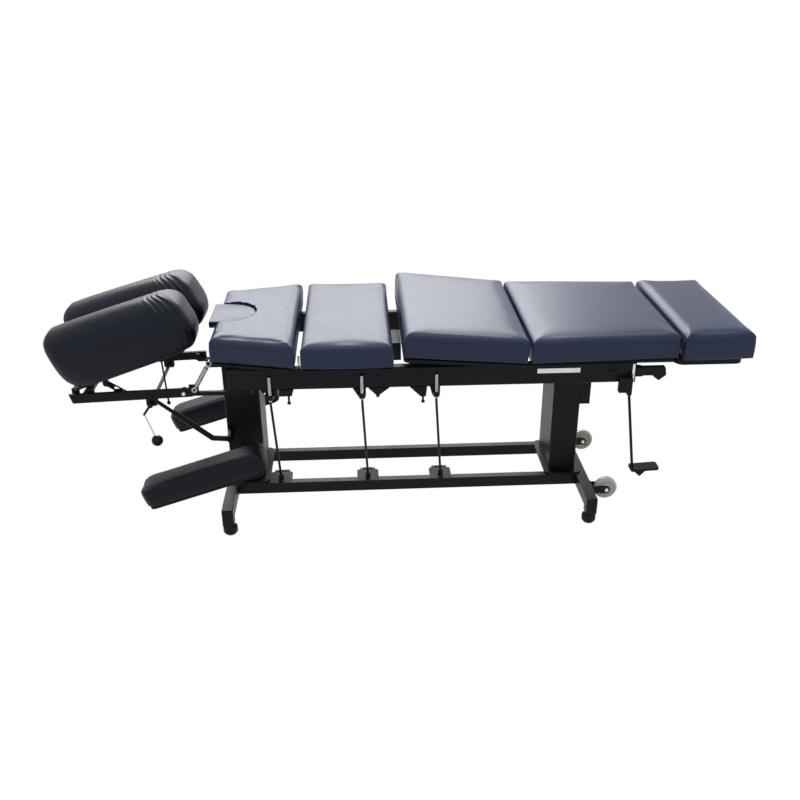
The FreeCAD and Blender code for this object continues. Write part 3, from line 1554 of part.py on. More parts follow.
def joint_places():
    """Points on the joint axes and other places worth knowing, before the model is centred."""
    low, high, gas_direction = gas_points()
    anchor, bend, eye = strut_points()
    mouth, strut_direction = strut_split()
    top, bottom = pull_axis()
    places = {
        "thoracic_hinge": V(thoracic_tail_x - hinge_inboard, 0, hinge_z),
        "lumbar_hinge": V(lumbar_tail_x - hinge_inboard, 0, hinge_z),
        "pelvic_hinge": V(pelvic_hinge_x(), 0, hinge_z),
        "pedal_pivot": V(0, pedal_pivot_y, pedal_pivot_z),
        "rod_foot": V(0, rod_foot_y, rod_foot_z),
        "handle_pivot": V(rail_tail_x + rail_cap + handle_pivot_in, handle_middle_y(),
                          handle_low + handle_height / 2),
        "head_tilt": V(tilt_x, 0, tilt_z),
        "strut_anchor": anchor, "strut_bend": bend, "strut_eye": eye,
        "gas_low": low, "gas_high": high,
        "lever_pivot": V(lever_pivot_x, lever_y, lever_pivot_z),
        "plate_hinge": V(plate_hinge_x, 0, plate_hinge_z),
        "stay_top": V(stay_top_x, 0, stay_top_z), "stay_bolt": V(stay_bolt_x, 0, stay_bolt_z),
        "pull_top": top, "pull_bottom": bottom,
        "arm_pivot": V(arm_pivot_x, 0, arm_pivot_z),
        "front_wheel": V(wheel_x, -wheel_y, wheel_z), "rear_wheel": V(wheel_x, wheel_y, wheel_z),
    }
    for name, x in (("thoracic", thoracic_screw_x), ("lumbar", lumbar_screw_x), ("pelvic", pelvic_screw_x)):
        places[name + "_screw"] = V(x, -rail_outer + bracket_depth / 2, rail_top - rail_height)
    for sign, end in ((-1, "head"), (1, "tail")):
        x, y = glide_place(sign)
        places[end + "_front_glide"] = V(x, -y, 0)
        places[end + "_rear_glide"] = V(x, y, 0)
    return places


def main():
    """Centres the model on its box, writes one file per sub-part and prints the places."""
    os.makedirs("parts", exist_ok=True)
    nodes = all_nodes()
    whole = FreeCAD.BoundBox()
    for shape in nodes.values():
        whole.add(shape.optimalBoundingBox(True, False))
    middle = (whole.XMin + whole.XMax) / 2
    shift = V(-middle, -(whole.YMin + whole.YMax) / 2, -whole.ZMin)
    for name, shape in nodes.items():
        if not shape.isValid():
            print("NOT VALID", name)
        solids = shape.Solids
        moved = shape.translated(shift)
        moved.exportStep(os.path.join("parts", name + ".step"))
        print("NODE", name, len(solids), "solids", round(sum(s.Volume for s in solids)), "mm3")
    print("SHIFT", round(shift.x, 4), round(shift.y, 4), round(shift.z, 4))
    for name, place in joint_places().items():
        moved = place + shift
        print("PLACE", name, round(moved.x, 4), round(moved.y, 4), round(moved.z, 4))


main()
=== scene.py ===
# %% [markdown]
# # A padded drop table, finished in Blender
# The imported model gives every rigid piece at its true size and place. This
# script adds what a maker's upholsterer and finisher add: sewn vinyl
# cushions, powder coated steel, bright bars, screws and pale wheels. It then
# sets a plain white room and a camera.

import bpy
import bmesh
import json
import math
from mathutils import Matrix, Vector
from mathutils.kdtree import KDTree


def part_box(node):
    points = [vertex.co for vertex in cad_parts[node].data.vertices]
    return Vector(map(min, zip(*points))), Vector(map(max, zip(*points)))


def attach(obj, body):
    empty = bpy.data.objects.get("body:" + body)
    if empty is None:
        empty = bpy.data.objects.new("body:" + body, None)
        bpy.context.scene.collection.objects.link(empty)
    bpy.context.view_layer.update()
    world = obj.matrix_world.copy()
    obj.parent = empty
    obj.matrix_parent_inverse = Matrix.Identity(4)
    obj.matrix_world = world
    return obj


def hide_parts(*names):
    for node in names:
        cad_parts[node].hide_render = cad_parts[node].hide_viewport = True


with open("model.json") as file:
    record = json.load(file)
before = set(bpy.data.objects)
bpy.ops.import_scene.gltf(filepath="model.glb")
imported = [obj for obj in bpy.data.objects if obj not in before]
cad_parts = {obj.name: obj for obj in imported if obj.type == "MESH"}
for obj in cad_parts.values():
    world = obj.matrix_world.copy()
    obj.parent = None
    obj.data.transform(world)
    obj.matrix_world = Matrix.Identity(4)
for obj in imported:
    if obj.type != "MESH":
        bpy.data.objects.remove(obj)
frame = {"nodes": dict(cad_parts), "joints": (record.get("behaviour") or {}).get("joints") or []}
scene = bpy.context.scene
scene.view_settings.view_transform = "Standard"
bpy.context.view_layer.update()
print("pieces in the frame:", len(frame["nodes"]))

# %% [markdown]
# ## Where things are
# The model's origin is the middle of its box on the floor. The numbers that
# follow were measured from the middle of the two cross feet, so one shift
# takes them to the model's frame. It is read from a wheel, whose place is
# known both ways.

# %% The shift along the table
wheel_from_feet = 0.604
wheel_low, wheel_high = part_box("front_wheel")
shift_x = (wheel_low.x + wheel_high.x) / 2 - wheel_from_feet
print("shift", round(shift_x, 4))


def at(x, y, z):
    """A place measured from the cross feet, in the model's frame."""
    return Vector((x + shift_x, y, z))

# %% [markdown]
# ## Shader maths as plain expressions
# Procedural finishes are sums and products of noise. Writing them as Math
# nodes one by one hides the idea, so a small class wraps a socket and lets
# Python's own signs add the nodes.

# %% A socket that does sums
class Value:
    """A number that flows through a node tree."""

    def __init__(self, tree, socket):
        self.tree = tree
        self.socket = socket

    def math(self, operation, other):
        node = self.tree.nodes.new("ShaderNodeMath")
        node.operation = operation
        self.tree.links.new(self.socket, node.inputs[0])
        if isinstance(other, Value):
            self.tree.links.new(other.socket, node.inputs[1])
        else:
            node.inputs[1].default_value = other
        return Value(self.tree, node.outputs[0])

    def __add__(self, other):
        return self.math("ADD", other)

    def __sub__(self, other):
        return self.math("SUBTRACT", other)

    def __mul__(self, other):
        return self.math("MULTIPLY", other)

    def clamp(self):
        result = self.math("ADD", 0.0)
        result.socket.node.use_clamp = True
        return result


# %% A finish and its nodes
class Finish:
    """A material with a Principled shader, and one method for every other node."""

    def __init__(self, name, **fixed):
        self.material = bpy.data.materials.new(name)
        self.material.use_nodes = True
        self.tree = self.material.node_tree
        self.shader = self.tree.nodes["Principled BSDF"]
        for socket, value in fixed.items():
            self.shader.inputs[socket.replace("_", " ")].default_value = value
        coordinates = self.tree.nodes.new("ShaderNodeTexCoord")
        self.place = coordinates.outputs["Object"]

    def node(self, kind, settings=None, out=0, **inputs):
        made = self.tree.nodes.new(kind)
        for key, value in (settings or {}).items():
            setattr(made, key, value)
        for key, value in inputs.items():
            socket = made.inputs[key.replace("_", " ")]
            if isinstance(value, Value):
                self.tree.links.new(value.socket, socket)
            elif isinstance(value, bpy.types.NodeSocket):
                self.tree.links.new(value, socket)
            else:
                socket.default_value = value
        return Value(self.tree, made.outputs[out])

    def noise(self, scale, detail=3.0, roughness=0.55, stretch=None):
        place = self.place
        if stretch:
            place = self.node("ShaderNodeMapping", Vector=place, Scale=stretch).socket
        return self.node("ShaderNodeTexNoise", Vector=place, Scale=scale, Detail=detail, Roughness=roughness)

    def blend(self, mask, first, second):
        made = self.tree.nodes.new("ShaderNodeMix")
        made.data_type = "RGBA"
        self.tree.links.new(mask.socket, made.inputs["Factor"])
        made.inputs[6].default_value = (*first, 1)
        made.inputs[7].default_value = (*second, 1)
        return Value(self.tree, made.outputs[2])

    def feed(self, **sockets):
        for key, value in sockets.items():
            self.tree.links.new(value.socket, self.shader.inputs[key.replace("_", " ")])
        return self.material

    def bump(self, height, strength, distance):
        return self.node("ShaderNodeBump", Strength=strength, Distance=distance, Height=height)

# %% [markdown]
# ## Vinyl
# The covers are dark blue-black vinyl. Real vinyl has a fine pebble of about
# a millimetre, a softer unevenness from the foam below, and a satin shine
# that is a little duller where hands rub it. Voronoi cells make the pebble
# and slow noise varies the colour and the shine.

# %% Upholstery vinyl
def vinyl(name, dark, light, roughness, gloss):
    """Upholstery vinyl with a fine grain, cloudy colour and rubbed shine."""
    finish = Finish(name, Specular_IOR_Level=gloss)
    cells = finish.node("ShaderNodeTexVoronoi", {"feature": "SMOOTH_F1"}, Vector=finish.place, Scale=850.0,
                        Smoothness=0.6)
    cloud = finish.noise(9.0, 4.0)
    rub = finish.noise(34.0, 5.0)
    height = cells * 0.6 + finish.noise(140.0, 2.0) * 0.9
    colour = finish.blend((cloud * 1.6 - 0.3).clamp(), dark, light)
    shine = (rub * 0.08 + roughness - 0.04).clamp()
    return finish.feed(Base_Color=colour, Roughness=shine, Normal=finish.bump(height, 0.28, 0.0004))


pad_vinyl = vinyl("pad_vinyl", (0.009, 0.021, 0.070), (0.013, 0.027, 0.082), 0.38, 0.36)
bolster_vinyl = vinyl("bolster_vinyl", (0.003, 0.005, 0.014), (0.004, 0.008, 0.022), 0.38, 0.22)
armrest_vinyl = vinyl("armrest_vinyl", (0.004, 0.005, 0.010), (0.008, 0.009, 0.018), 0.44, 0.18)

# %% [markdown]
# ## Steel finishes
# The frame is powder coated in satin black, which dries with a faint orange
# peel and gathers dust in scattered patches. The bars are hard chrome, the
# trims are bare brushed steel with fine scratches along them.

# %% Powder coat
def powder_coat(name, base, dusty, roughness):
    """Satin black coating with orange peel and dust."""
    finish = Finish(name, Specular_IOR_Level=0.16)
    peel = finish.noise(700.0, 2.0)
    wear = finish.noise(16.0, 6.0, 0.7)
    colour = finish.blend((wear * 1.8 - 0.55).clamp(), base, dusty)
    shine = (wear * 0.25 + roughness - 0.12).clamp()
    return finish.feed(Base_Color=colour, Roughness=shine, Normal=finish.bump(peel, 0.25, 0.0003))


frame_coat = powder_coat("frame_coat", (0.005, 0.006, 0.007), (0.010, 0.011, 0.013), 0.40)
pedal_coat = powder_coat("pedal_coat", (0.006, 0.006, 0.008), (0.016, 0.016, 0.017), 0.48)


# %% Bright and bare steel
def bright_steel(name, base, darker, roughness, stretch):
    """Bare metal with fine lines along it and slow stains."""
    finish = Finish(name, Metallic=1.0)
    lines = finish.noise(60.0, 4.0, 0.6, stretch)
    stain = finish.noise(22.0, 5.0, 0.65)
    colour = finish.blend((stain * 2.0 - 0.75).clamp(), base, darker)
    shine = (lines * 0.18 + stain * 0.12 + roughness - 0.14).clamp()
    return finish.feed(Base_Color=colour, Roughness=shine, Normal=finish.bump(lines, 0.12, 0.0002))


hard_chrome = bright_steel("hard_chrome", (0.40, 0.37, 0.38), (0.26, 0.22, 0.23), 0.20, (8.0, 8.0, 1.0))
bare_steel = bright_steel("bare_steel", (0.68, 0.70, 0.71), (0.52, 0.54, 0.55), 0.34, (1.0, 12.0, 12.0))


# %% Rubber, plastic, board and wheel
def moulded(name, base, worn, roughness, grain, **fixed):
    """Moulded rubber, plastic or covered board."""
    finish = Finish(name, **fixed)
    mottle = finish.noise(26.0, 5.0, 0.6)
    speckle = finish.noise(grain, 2.0)
    colour = finish.blend((mottle * 1.7 - 0.4).clamp(), base, worn)
    shine = (mottle * 0.2 + roughness - 0.1).clamp()
    return finish.feed(Base_Color=colour, Roughness=shine, Normal=finish.bump(speckle, 0.2, 0.0003))


glide_rubber = moulded("glide_rubber", (0.006, 0.006, 0.007), (0.014, 0.014, 0.014), 0.6, 420.0,
                       Specular_IOR_Level=0.2)
cap_plastic = moulded("cap_plastic", (0.007, 0.007, 0.008), (0.013, 0.013, 0.014), 0.45, 500.0,
                      Specular_IOR_Level=0.2)
board_cover = moulded("board_cover", (0.006, 0.007, 0.010), (0.011, 0.012, 0.016), 0.6, 260.0,
                      Specular_IOR_Level=0.18)
wheel_plastic = moulded("wheel_plastic", (0.90, 0.97, 0.86), (0.82, 0.92, 0.72), 0.4, 300.0,
                        Subsurface_Weight=0.08, Subsurface_Radius=(0.02, 0.02, 0.015))

# %% The lock lever: black arm and ball, bright rod between them
rod_low = 0.277
rod_high = 0.343


def lever_finish():
    """One finish for the lever's single slot, split by height."""
    finish = Finish("lock_lever_finish", Specular_IOR_Level=0.2)
    height = finish.node("ShaderNodeSeparateXYZ", Vector=finish.place, out=2)
    bright = height.math("GREATER_THAN", rod_low) * height.math("LESS_THAN", rod_high)
    colour = finish.blend(bright, (0.006, 0.006, 0.008), (0.62, 0.62, 0.62))
    return finish.feed(Base_Color=colour, Metallic=bright, Roughness=finish.noise(40.0) * 0.1 + 0.25)


lever_coat = lever_finish()
print("finishes:", len(bpy.data.materials))

# %% [markdown]
# ## Finishes on the rigid pieces
# Each carried-over piece keeps its own shape and gets the finish of the real
# one. Bevels on their edges would change the mesh, so a Bevel modifier is
# left off and the rounding is in the model where it matters.

# %% Give the rigid pieces their finishes
finish_of = {
    hard_chrome: ("thoracic_drop_bar", "lumbar_drop_bar", "pelvic_drop_bar", "gas_rod", "gas_cylinder"),
    bare_steel: ("trims",),
    lever_coat: ("lock_lever",),
    board_cover: ("thoracic_board", "lumbar_board", "pelvic_board", "leg_strips", "foot_plate",
                  "front_armrest_carrier", "rear_armrest_carrier"),
    glide_rubber: ("levelling_feet",),
    cap_plastic: ("rail_caps",),
    wheel_plastic: ("front_wheel", "rear_wheel"),
    pedal_coat: ("thoracic_pedal", "lumbar_pedal", "pelvic_pedal", "tail_pedal"),
}
chosen = {}
for material, names in finish_of.items():
    for name in names:
        chosen[name] = material
for name, node in frame["nodes"].items():
    for slot_index in range(len(node.material_slots)):
        node.material_slots[slot_index].material = chosen.get(name, frame_coat)
print("dressed", len(frame["nodes"]), "rigid pieces")

# %% [markdown]
# ## Keeping new pieces tidy
# Every new piece is a mesh at the origin, with its place in its points, that
# rides on the body it is fixed to. Some mesh operators return their points
# and faces in an order that changes between runs, and cloth feels that. So
# each mesh is put in one fixed order.

# %% Helpers for new pieces
def settle(mesh):
    """Puts the points and faces of a mesh in an order that is the same in every run."""
    places = [tuple(round(number, 6) for number in v.co) for v in mesh.vertices]
    order = sorted(range(len(places)), key=places.__getitem__)
    rank = {old: new for new, old in enumerate(order)}
    outlines = []
    for face in mesh.polygons:
        around = [rank[old] for old in face.vertices]
        start = around.index(min(around))
        outlines.append((around[start:] + around[:start], face.use_smooth))
    ordered = bmesh.new()
    points = [ordered.verts.new(mesh.vertices[old].co) for old in order]
    for outline, smooth in sorted(outlines):
        ordered.faces.new([points[new] for new in outline]).smooth = smooth
    ordered.to_mesh(mesh)
    ordered.free()


def piece(name, shape, material, body):
    """Turns a bmesh into an object that rides on a body."""
    mesh = bpy.data.meshes.new(name)
    for face in shape.faces:
        face.smooth = True
    shape.to_mesh(mesh)
    shape.free()
    settle(mesh)
    made = bpy.data.objects.new(name, mesh)
    scene.collection.objects.link(made)
    mesh.materials.append(material)
    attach(made, body)
    return made


def lower_into(shape, other):
    """Adds one bmesh to another."""
    carrier = bpy.data.meshes.new("carrier")
    other.to_mesh(carrier)
    other.free()
    shape.from_mesh(carrier)
    bpy.data.meshes.remove(carrier)

# %% [markdown]
# ## Sewn cushions
# Each cushion is foam on a board under tight vinyl. The top panel is sewn to
# a side band, so a fine seam runs all round below the rounded edge, and the
# foam crowns a little in the middle. A grid makes the top panel, because its
# lines can be crowded near the edges, where the shape turns. Its outer edge
# is then extruded down, level by level, to make the side band.

# %% The plan of a cushion: where a grid line lies, and how corners turn
edge_lines = (0.0, 0.0007, 0.0024, 0.0050, 0.0083, 0.0120, 0.0165, 0.0225, 0.0310, 0.0430, 0.0600)


def line_place(index, count, reach):
    """Place of a grid line between -reach and reach, crowded near both ends."""
    from_edge = min(index, count - index)
    if from_edge < len(edge_lines):
        place = reach - edge_lines[from_edge]
    else:
        inner = reach - edge_lines[-1]
        share = (from_edge - len(edge_lines) + 1) / (count / 2 - len(edge_lines) + 1)
        place = inner * (1 - share)
    return -place if index <= count / 2 else place


def turn_corner(from_end, from_side, corner):
    """Bends a square corner onto an arc. Gives both distances, and the depth from the edge."""
    if from_end >= corner or from_side >= corner:
        return from_end, from_side, min(from_end, from_side)
    reach_end = corner - from_end
    reach_side = corner - from_side
    depth = max(reach_end, reach_side)
    length = math.hypot(reach_end, reach_side)
    return corner - reach_end * depth / length, corner - reach_side * depth / length, corner - depth


# %% The cushion maker
count_x = 28
count_y = 34
seam_profile = ((0.0016, 0.0001), (0.0006, 0.0008), (0, 0.0016), (-0.0006, 0.0008), (-0.0016, 0.0001),
                (-0.006, -0.0006))
band_shares = (0.25, 0.5, 0.72, 0.9, 1.0)


def cushion(x_low, x_high, half_low, half_high, bottom, top, corner=0.007, edge=0.017, crown=0.003,
            seam_drop=0.021, pull_in=0.004):
    """A bmesh of one padded section, drawn level: crowned top, rounded edge, seam and side band."""
    shape = bmesh.new()
    bmesh.ops.create_grid(shape, x_segments=count_x, y_segments=count_y, size=1.0)
    middle = (x_low + x_high) / 2
    reach = (x_high - x_low) / 2
    for point in shape.verts:
        column = round((point.co.x + 1) / 2 * count_x)
        row = round((point.co.y + 1) / 2 * count_y)
        x = line_place(column, count_x, reach)
        half = half_low + (half_high - half_low) * (x + reach) / (2 * reach)
        y = line_place(row, count_y, half)
        end, side, depth = turn_corner(reach - abs(x), half - abs(y), corner)
        point.co.x = middle + math.copysign(reach - end, x)
        point.co.y = math.copysign(half - side, y)
        rise = crown * (1 - (abs(x) / reach) ** 4) * (1 - (abs(y) / half) ** 4)
        turned = edge - math.sqrt(max(edge ** 2 - max(edge - depth, 0) ** 2, 0))
        point.co.z = top - crown * 0.5 + rise - turned
    rim = [e for e in shape.edges if e.is_boundary]
    seam = top - seam_drop
    levels = [(seam + rise, pulled) for rise, pulled in seam_profile]
    band_top, band_pull = levels[-1]
    depth = band_top - bottom
    for share in band_shares:
        levels.append((band_top - depth * share, pull_in * share ** 2 + band_pull))
    inset = 0.0
    for level, pulled in levels:
        grown = bmesh.ops.extrude_edge_only(shape, edges=rim)
        fresh = [v for v in grown["geom"] if isinstance(v, bmesh.types.BMVert)]
        rim = [e for e in grown["geom"] if isinstance(e, bmesh.types.BMEdge) and e.is_boundary]
        for point in fresh:
            out = point.co - Vector((middle, 0, 0))
            half = half_low + (half_high - half_low) * (point.co.x - x_low) / (2 * reach)
            at_end = reach - abs(out.x) < corner
            at_side = half - abs(out.y) < corner
            way = Vector((math.copysign(max(corner - reach + abs(out.x), 0), out.x) if at_end else 0,
                          math.copysign(max(corner - half + abs(out.y), 0), out.y) if at_side else 0, 0))
            if way.length > 0:
                point.co -= way.normalized() * (pulled - inset)
            point.co.z = level
        inset = pulled
    bmesh.ops.holes_fill(shape, edges=[e for e in shape.edges if e.is_boundary], sides=0)
    bmesh.ops.recalc_face_normals(shape, faces=shape.faces)
    return shape


def tilt_about(shape, x, z, degrees):
    """Turns a bmesh about a line across the table. Positive lifts the head side."""
    spin = Matrix.Rotation(math.radians(degrees), 3, "Y")
    bmesh.ops.rotate(shape, verts=shape.verts, cent=(x, 0, z), matrix=spin)


cushions = []


def upholster(name, node, shape, body, material=pad_vinyl):
    """Finishes a cushion and puts it in the place of its plain solid."""
    made = piece(name, shape, material, body)
    soft = made.modifiers.new("soft", "SUBSURF")
    soft.levels = 1
    soft.render_levels = 1
    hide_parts(node)
    cushions.append(made)
    return made


# %% Four of the five table sections
def section(x_low, x_high, half_low, half_high, bottom, top):
    """One section's bmesh, with its ends measured from the cross feet."""
    return cushion(x_low + shift_x, x_high + shift_x, half_low, half_high, bottom, top)


lumbar = section(-0.3030, -0.0485, 0.290, 0.290, 0.522, 0.5905)
upholster("lumbar_cushion", "lumbar_pad", lumbar, "lumbar_section")
pelvic = section(-0.030, 0.319, 0.295, 0.281, 0.522, 0.5965)
pelvic_hinge = next(j for j in frame["joints"] if j["name"] == "pelvic_drop")["pos_m"]
cocked_degrees = 5.05
tilt_about(pelvic, pelvic_hinge[0], pelvic_hinge[2], cocked_degrees)
upholster("pelvic_cushion", "pelvic_pad", pelvic, "pelvic_section")
leg = section(0.326, 0.753, 0.2815, 0.258, 0.519, 0.593)
upholster("leg_cushion", "leg_pad", leg, "base")
foot = section(0.759, 0.967, 0.266, 0.258, 0.512, 0.593)
upholster("foot_cushion", "foot_pad", foot, "foot_section")
print("four plain cushions sewn")

# %% [markdown]
# ## The thoracic cushion and its throat pad
# This cushion has a U-shaped bay let into its head edge, and a loose pad
# fills it and stands out a little. The bay is cut with a Boolean, because
# that leaves a clean edge. One outline serves both, with a half round tip
# that is spun from a single point.

# %% A U-shaped outline
def throat_outline(x_open, x_tip, half, level, turns=24):
    """A flat U-shaped face: a straight open end and a half round tip."""
    shape = bmesh.new()
    centre = x_tip - half
    first = shape.verts.new((centre, -half, level))
    bmesh.ops.spin(shape, geom=[first], cent=(centre, 0, level), axis=(0, 0, 1), angle=math.pi, steps=turns)
    points = sorted(shape.verts, key=lambda v: math.atan2(v.co.y, v.co.x - centre))
    ends = [shape.verts.new((x_open, half, level)), shape.verts.new((x_open, -half, level))]
    shape.faces.new(points + ends)
    return shape


def raised(shape, height):
    """Gives a flat face its thickness."""
    grown = bmesh.ops.extrude_face_region(shape, geom=shape.faces[:])
    moved = [v for v in grown["geom"] if isinstance(v, bmesh.types.BMVert)]
    bmesh.ops.translate(shape, verts=moved, vec=(0, 0, height))
    bmesh.ops.recalc_face_normals(shape, faces=shape.faces)
    return shape


# %% The thoracic cushion
bay_open = -0.566 + shift_x
bay_tip = -0.4375 + shift_x
bay_half = 0.0825
bay_floor = 0.5747
throat_gap = 0.0025
throat_floor = 0.5751
throat_thick = 0.0178
throat_edge = 0.005
cutter_height = 0.05
thoracic = section(-0.553, -0.3160, 0.220, 0.285, 0.522, 0.593)
bay = raised(throat_outline(bay_open, bay_tip, bay_half, bay_floor), cutter_height)
bay_mesh = bpy.data.meshes.new("bay_cutter")
bay.to_mesh(bay_mesh)
bay.free()
bay_cutter = bpy.data.objects.new("bay_cutter", bay_mesh)
scene.collection.objects.link(bay_cutter)
thoracic_cushion = upholster("thoracic_cushion", "thoracic_pad", thoracic, "thoracic_section")
cut = thoracic_cushion.modifiers.new("bay", "BOOLEAN")
cut.operation = "DIFFERENCE"
cut.solver = "EXACT"
cut.object = bay_cutter
ready = thoracic_cushion.evaluated_get(bpy.context.evaluated_depsgraph_get())
cut_mesh = bpy.data.meshes.new_from_object(ready)
settle(cut_mesh)
thoracic_cushion.modifiers.clear()
thoracic_cushion.data = cut_mesh
bpy.data.objects.remove(bay_cutter)
print("thoracic cushion faces", len(cut_mesh.polygons))

# %% The throat pad
throat_plan = throat_outline(bay_open, bay_tip - throat_gap, bay_half - throat_gap, throat_floor)
throat = raised(throat_plan, throat_thick)
halfway = throat_floor + throat_thick / 2
upper = [e for e in throat.edges if all(v.co.z > halfway for v in e.verts)]
bmesh.ops.bevel(throat, geom=upper, offset=throat_edge, segments=4, profile=0.5, affect="EDGES", material=-1)
throat_cushion = piece("throat_cushion", throat, pad_vinyl, "throat")
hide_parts("throat_insert")
print("throat pad points", len(throat_cushion.data.vertices))

# %% [markdown]
# ## Bolsters
# The two head bolsters are tall and round-topped, narrower at the foot and
# fullest in the middle. The vinyl is gathered into folds at the tail end,
# past a seam. A box is cut into rows and columns, and each point is set to
# the bolster's outline, less the seam and the folds. Subdivision rounds it.

# %% The outline of a bolster, in rows from its foot to its crest
slope = math.radians(19.3)
bolster_rows = [
    (0.000, -0.318, 0.018, 0.0605), (0.0025, -0.323, 0.023, 0.0620), (0.012, -0.335, 0.035, 0.066),
    (0.030, -0.349, 0.044, 0.071), (0.056, -0.355, 0.048, 0.0765), (0.080, -0.358, 0.047, 0.0795),
    (0.101, -0.359, 0.044, 0.080), (0.122, -0.359, 0.041, 0.0790), (0.139, -0.358, 0.036, 0.075),
    (0.152, -0.355, 0.029, 0.066), (0.162, -0.349, 0.021, 0.054), (0.170, -0.339, 0.009, 0.038),
    (0.174, -0.328, -0.006, 0.020),
]
crest = bolster_rows[-1][0]
end_seam = 0.875
seam_width = 0.012
tail_fall = 0.07
corner_share = 0.20
gather_middle = 0.93
gather_spread = 0.13
gather_depth = 0.0024
seam_depth = 0.0022
fold_depth = 0.003
foot_inset = 0.003
toe_in = Matrix.Rotation(math.radians(-2.4), 3, "Z")
toe_place = (-0.208, 0, 0)
beside_middle = 0.103
foot_place = at(-0.627, 0, 0.5355)


def bolster(side):
    """One bolster as a bmesh, for the near side (-1) or the far side (1)."""
    shape = bmesh.new()
    bmesh.ops.create_cube(shape, size=1.0)
    upright = [e for e in shape.edges if abs(e.verts[0].co.z - e.verts[1].co.z) > 0.01]
    bmesh.ops.bevel(shape, geom=upright, offset=corner_share, segments=6, profile=0.5, affect="EDGES",
                    material=-1)
    heights = [row[0] / crest - 0.5 for row in bolster_rows]
    for height in heights[1:-1]:
        bmesh.ops.bisect_plane(shape, geom=shape.verts[:] + shape.edges[:] + shape.faces[:], dist=1e-6,
                               plane_co=(0, 0, height), plane_no=(0, 0, 1))
    cuts = [step / 20 for step in range(1, 15)] + [0.72 + step / 100 for step in range(27)]
    for cut in cuts:
        bmesh.ops.bisect_plane(shape, geom=shape.verts[:] + shape.edges[:] + shape.faces[:], dist=1e-6,
                               plane_co=(cut - 0.5, 0, 0), plane_no=(1, 0, 0))
    for point in shape.verts:
        row = min(range(len(heights)), key=lambda i: abs(heights[i] - point.co.z))
        level, head, tail, half = bolster_rows[row]
        share = point.co.x + 0.5
        rise = level / crest
        level = level * (1 - tail_fall * share)
        near_end = max(0, 1 - abs(share - gather_middle) / gather_spread) * min(1, max(0, rise - 0.08) * 2)
        gather = gather_depth * math.sin(share * 150 + rise * 2.5 + point.co.y * 3) * near_end
        groove = seam_depth * max(0, 1 - abs(share - end_seam) / seam_width) * min(1, rise * 8)
        x = head + (tail - head) * share
        y = point.co.y * 2 * (half - gather - groove)
        fold = fold_depth * math.sin(y * 170 + rise * 9) * max(0, share - 0.9) / 0.1 * max(0, rise - 0.35)
        point.co = (x - fold, y, level - (gather * 0.8 + groove) * rise)
    base = [f for f in shape.faces if all(v.co.z < 0.0005 for v in f.verts)]
    bmesh.ops.inset_region(shape, faces=base, thickness=foot_inset, depth=0.0)
    bmesh.ops.rotate(shape, verts=shape.verts, cent=toe_place, matrix=toe_in)
    bmesh.ops.translate(shape, verts=shape.verts, vec=(0, beside_middle, 0))
    bmesh.ops.rotate(shape, verts=shape.verts, cent=(0, 0, 0), matrix=Matrix.Rotation(-slope, 3, "Y"))
    bmesh.ops.translate(shape, verts=shape.verts, vec=foot_place)
    if side < 0:
        bmesh.ops.scale(shape, verts=shape.verts, vec=(1, -1, 1))
    bmesh.ops.recalc_face_normals(shape, faces=shape.faces)
    return shape


near_bolster = upholster("near_bolster", "front_bolster", bolster(-1), "face_section", bolster_vinyl)
far_bolster = upholster("far_bolster", "rear_bolster", bolster(1), "face_section", bolster_vinyl)
print("bolsters stuffed")

# %% [markdown]
# ## Armrests
# The armrests are narrow cushions with well rounded corners, on boards that
# slope up to the table. They are drawn level, then turned onto the slope.

# %% The armrest cushions
armrest_length = 0.367
armrest_half = 0.055
armrest_thick = 0.056
armrest_slope = math.radians(-17.5)
armrest_middle = 0.25


def armrest(side):
    """One armrest cushion, drawn level from its upper end and turned down."""
    shape = cushion(0, armrest_length, armrest_half, armrest_half, -armrest_thick, 0,
                    corner=0.030, edge=0.009, crown=0.003, seam_drop=0.011, pull_in=0.003)
    spin = Matrix.Rotation(armrest_slope, 3, "Y")
    bmesh.ops.rotate(shape, verts=shape.verts, cent=(0, 0, 0), matrix=spin)
    bmesh.ops.translate(shape, verts=shape.verts, vec=at(-0.775, side * armrest_middle, 0.168))
    return shape


upholster("near_armrest", "front_armrest_pad", armrest(-1), "front_armrest", armrest_vinyl)
upholster("far_armrest", "rear_armrest_pad", armrest(1), "rear_armrest", armrest_vinyl)
print("cushions:", len(cushions))

# %% [markdown]
# ## Foam under the covers
# The foam presses each cover out. A coarse copy of every cushion goes through
# a short cloth simulation, with pressure inside and its underside held to the
# board. The sewn mesh then follows its copy by a few millimetres at most, so
# the fine seams stay as they are drawn.

# %% The coarse cover of a cushion
cover_grid = 0.008
most_swell = 0.0035
last_frame = 20
near_points = 5


def coarse_cover(made):
    """An even, closed copy of a cushion, set up as cloth with pressure inside."""
    cover = bpy.data.objects.new(made.name + "_cover", made.data.copy())
    scene.collection.objects.link(cover)
    even = cover.modifiers.new("even", "REMESH")
    even.mode = "VOXEL"
    even.voxel_size = cover_grid
    ready = cover.evaluated_get(bpy.context.evaluated_depsgraph_get())
    even_mesh = bpy.data.meshes.new_from_object(ready)
    cover.modifiers.clear()
    cover.data = even_mesh
    held = cover.vertex_groups.new(name="held")
    held.add([v.index for v in even_mesh.vertices if v.normal.z < -0.5], 1.0, "REPLACE")
    foam = cover.modifiers.new("foam", "CLOTH")
    foam.settings.quality = 5
    foam.settings.use_pressure = True
    foam.settings.uniform_pressure_force = 4
    foam.settings.vertex_group_mass = "held"
    foam.settings.effector_weights.gravity = 0
    foam.collision_settings.use_collision = False
    foam.point_cache.frame_end = last_frame
    return cover


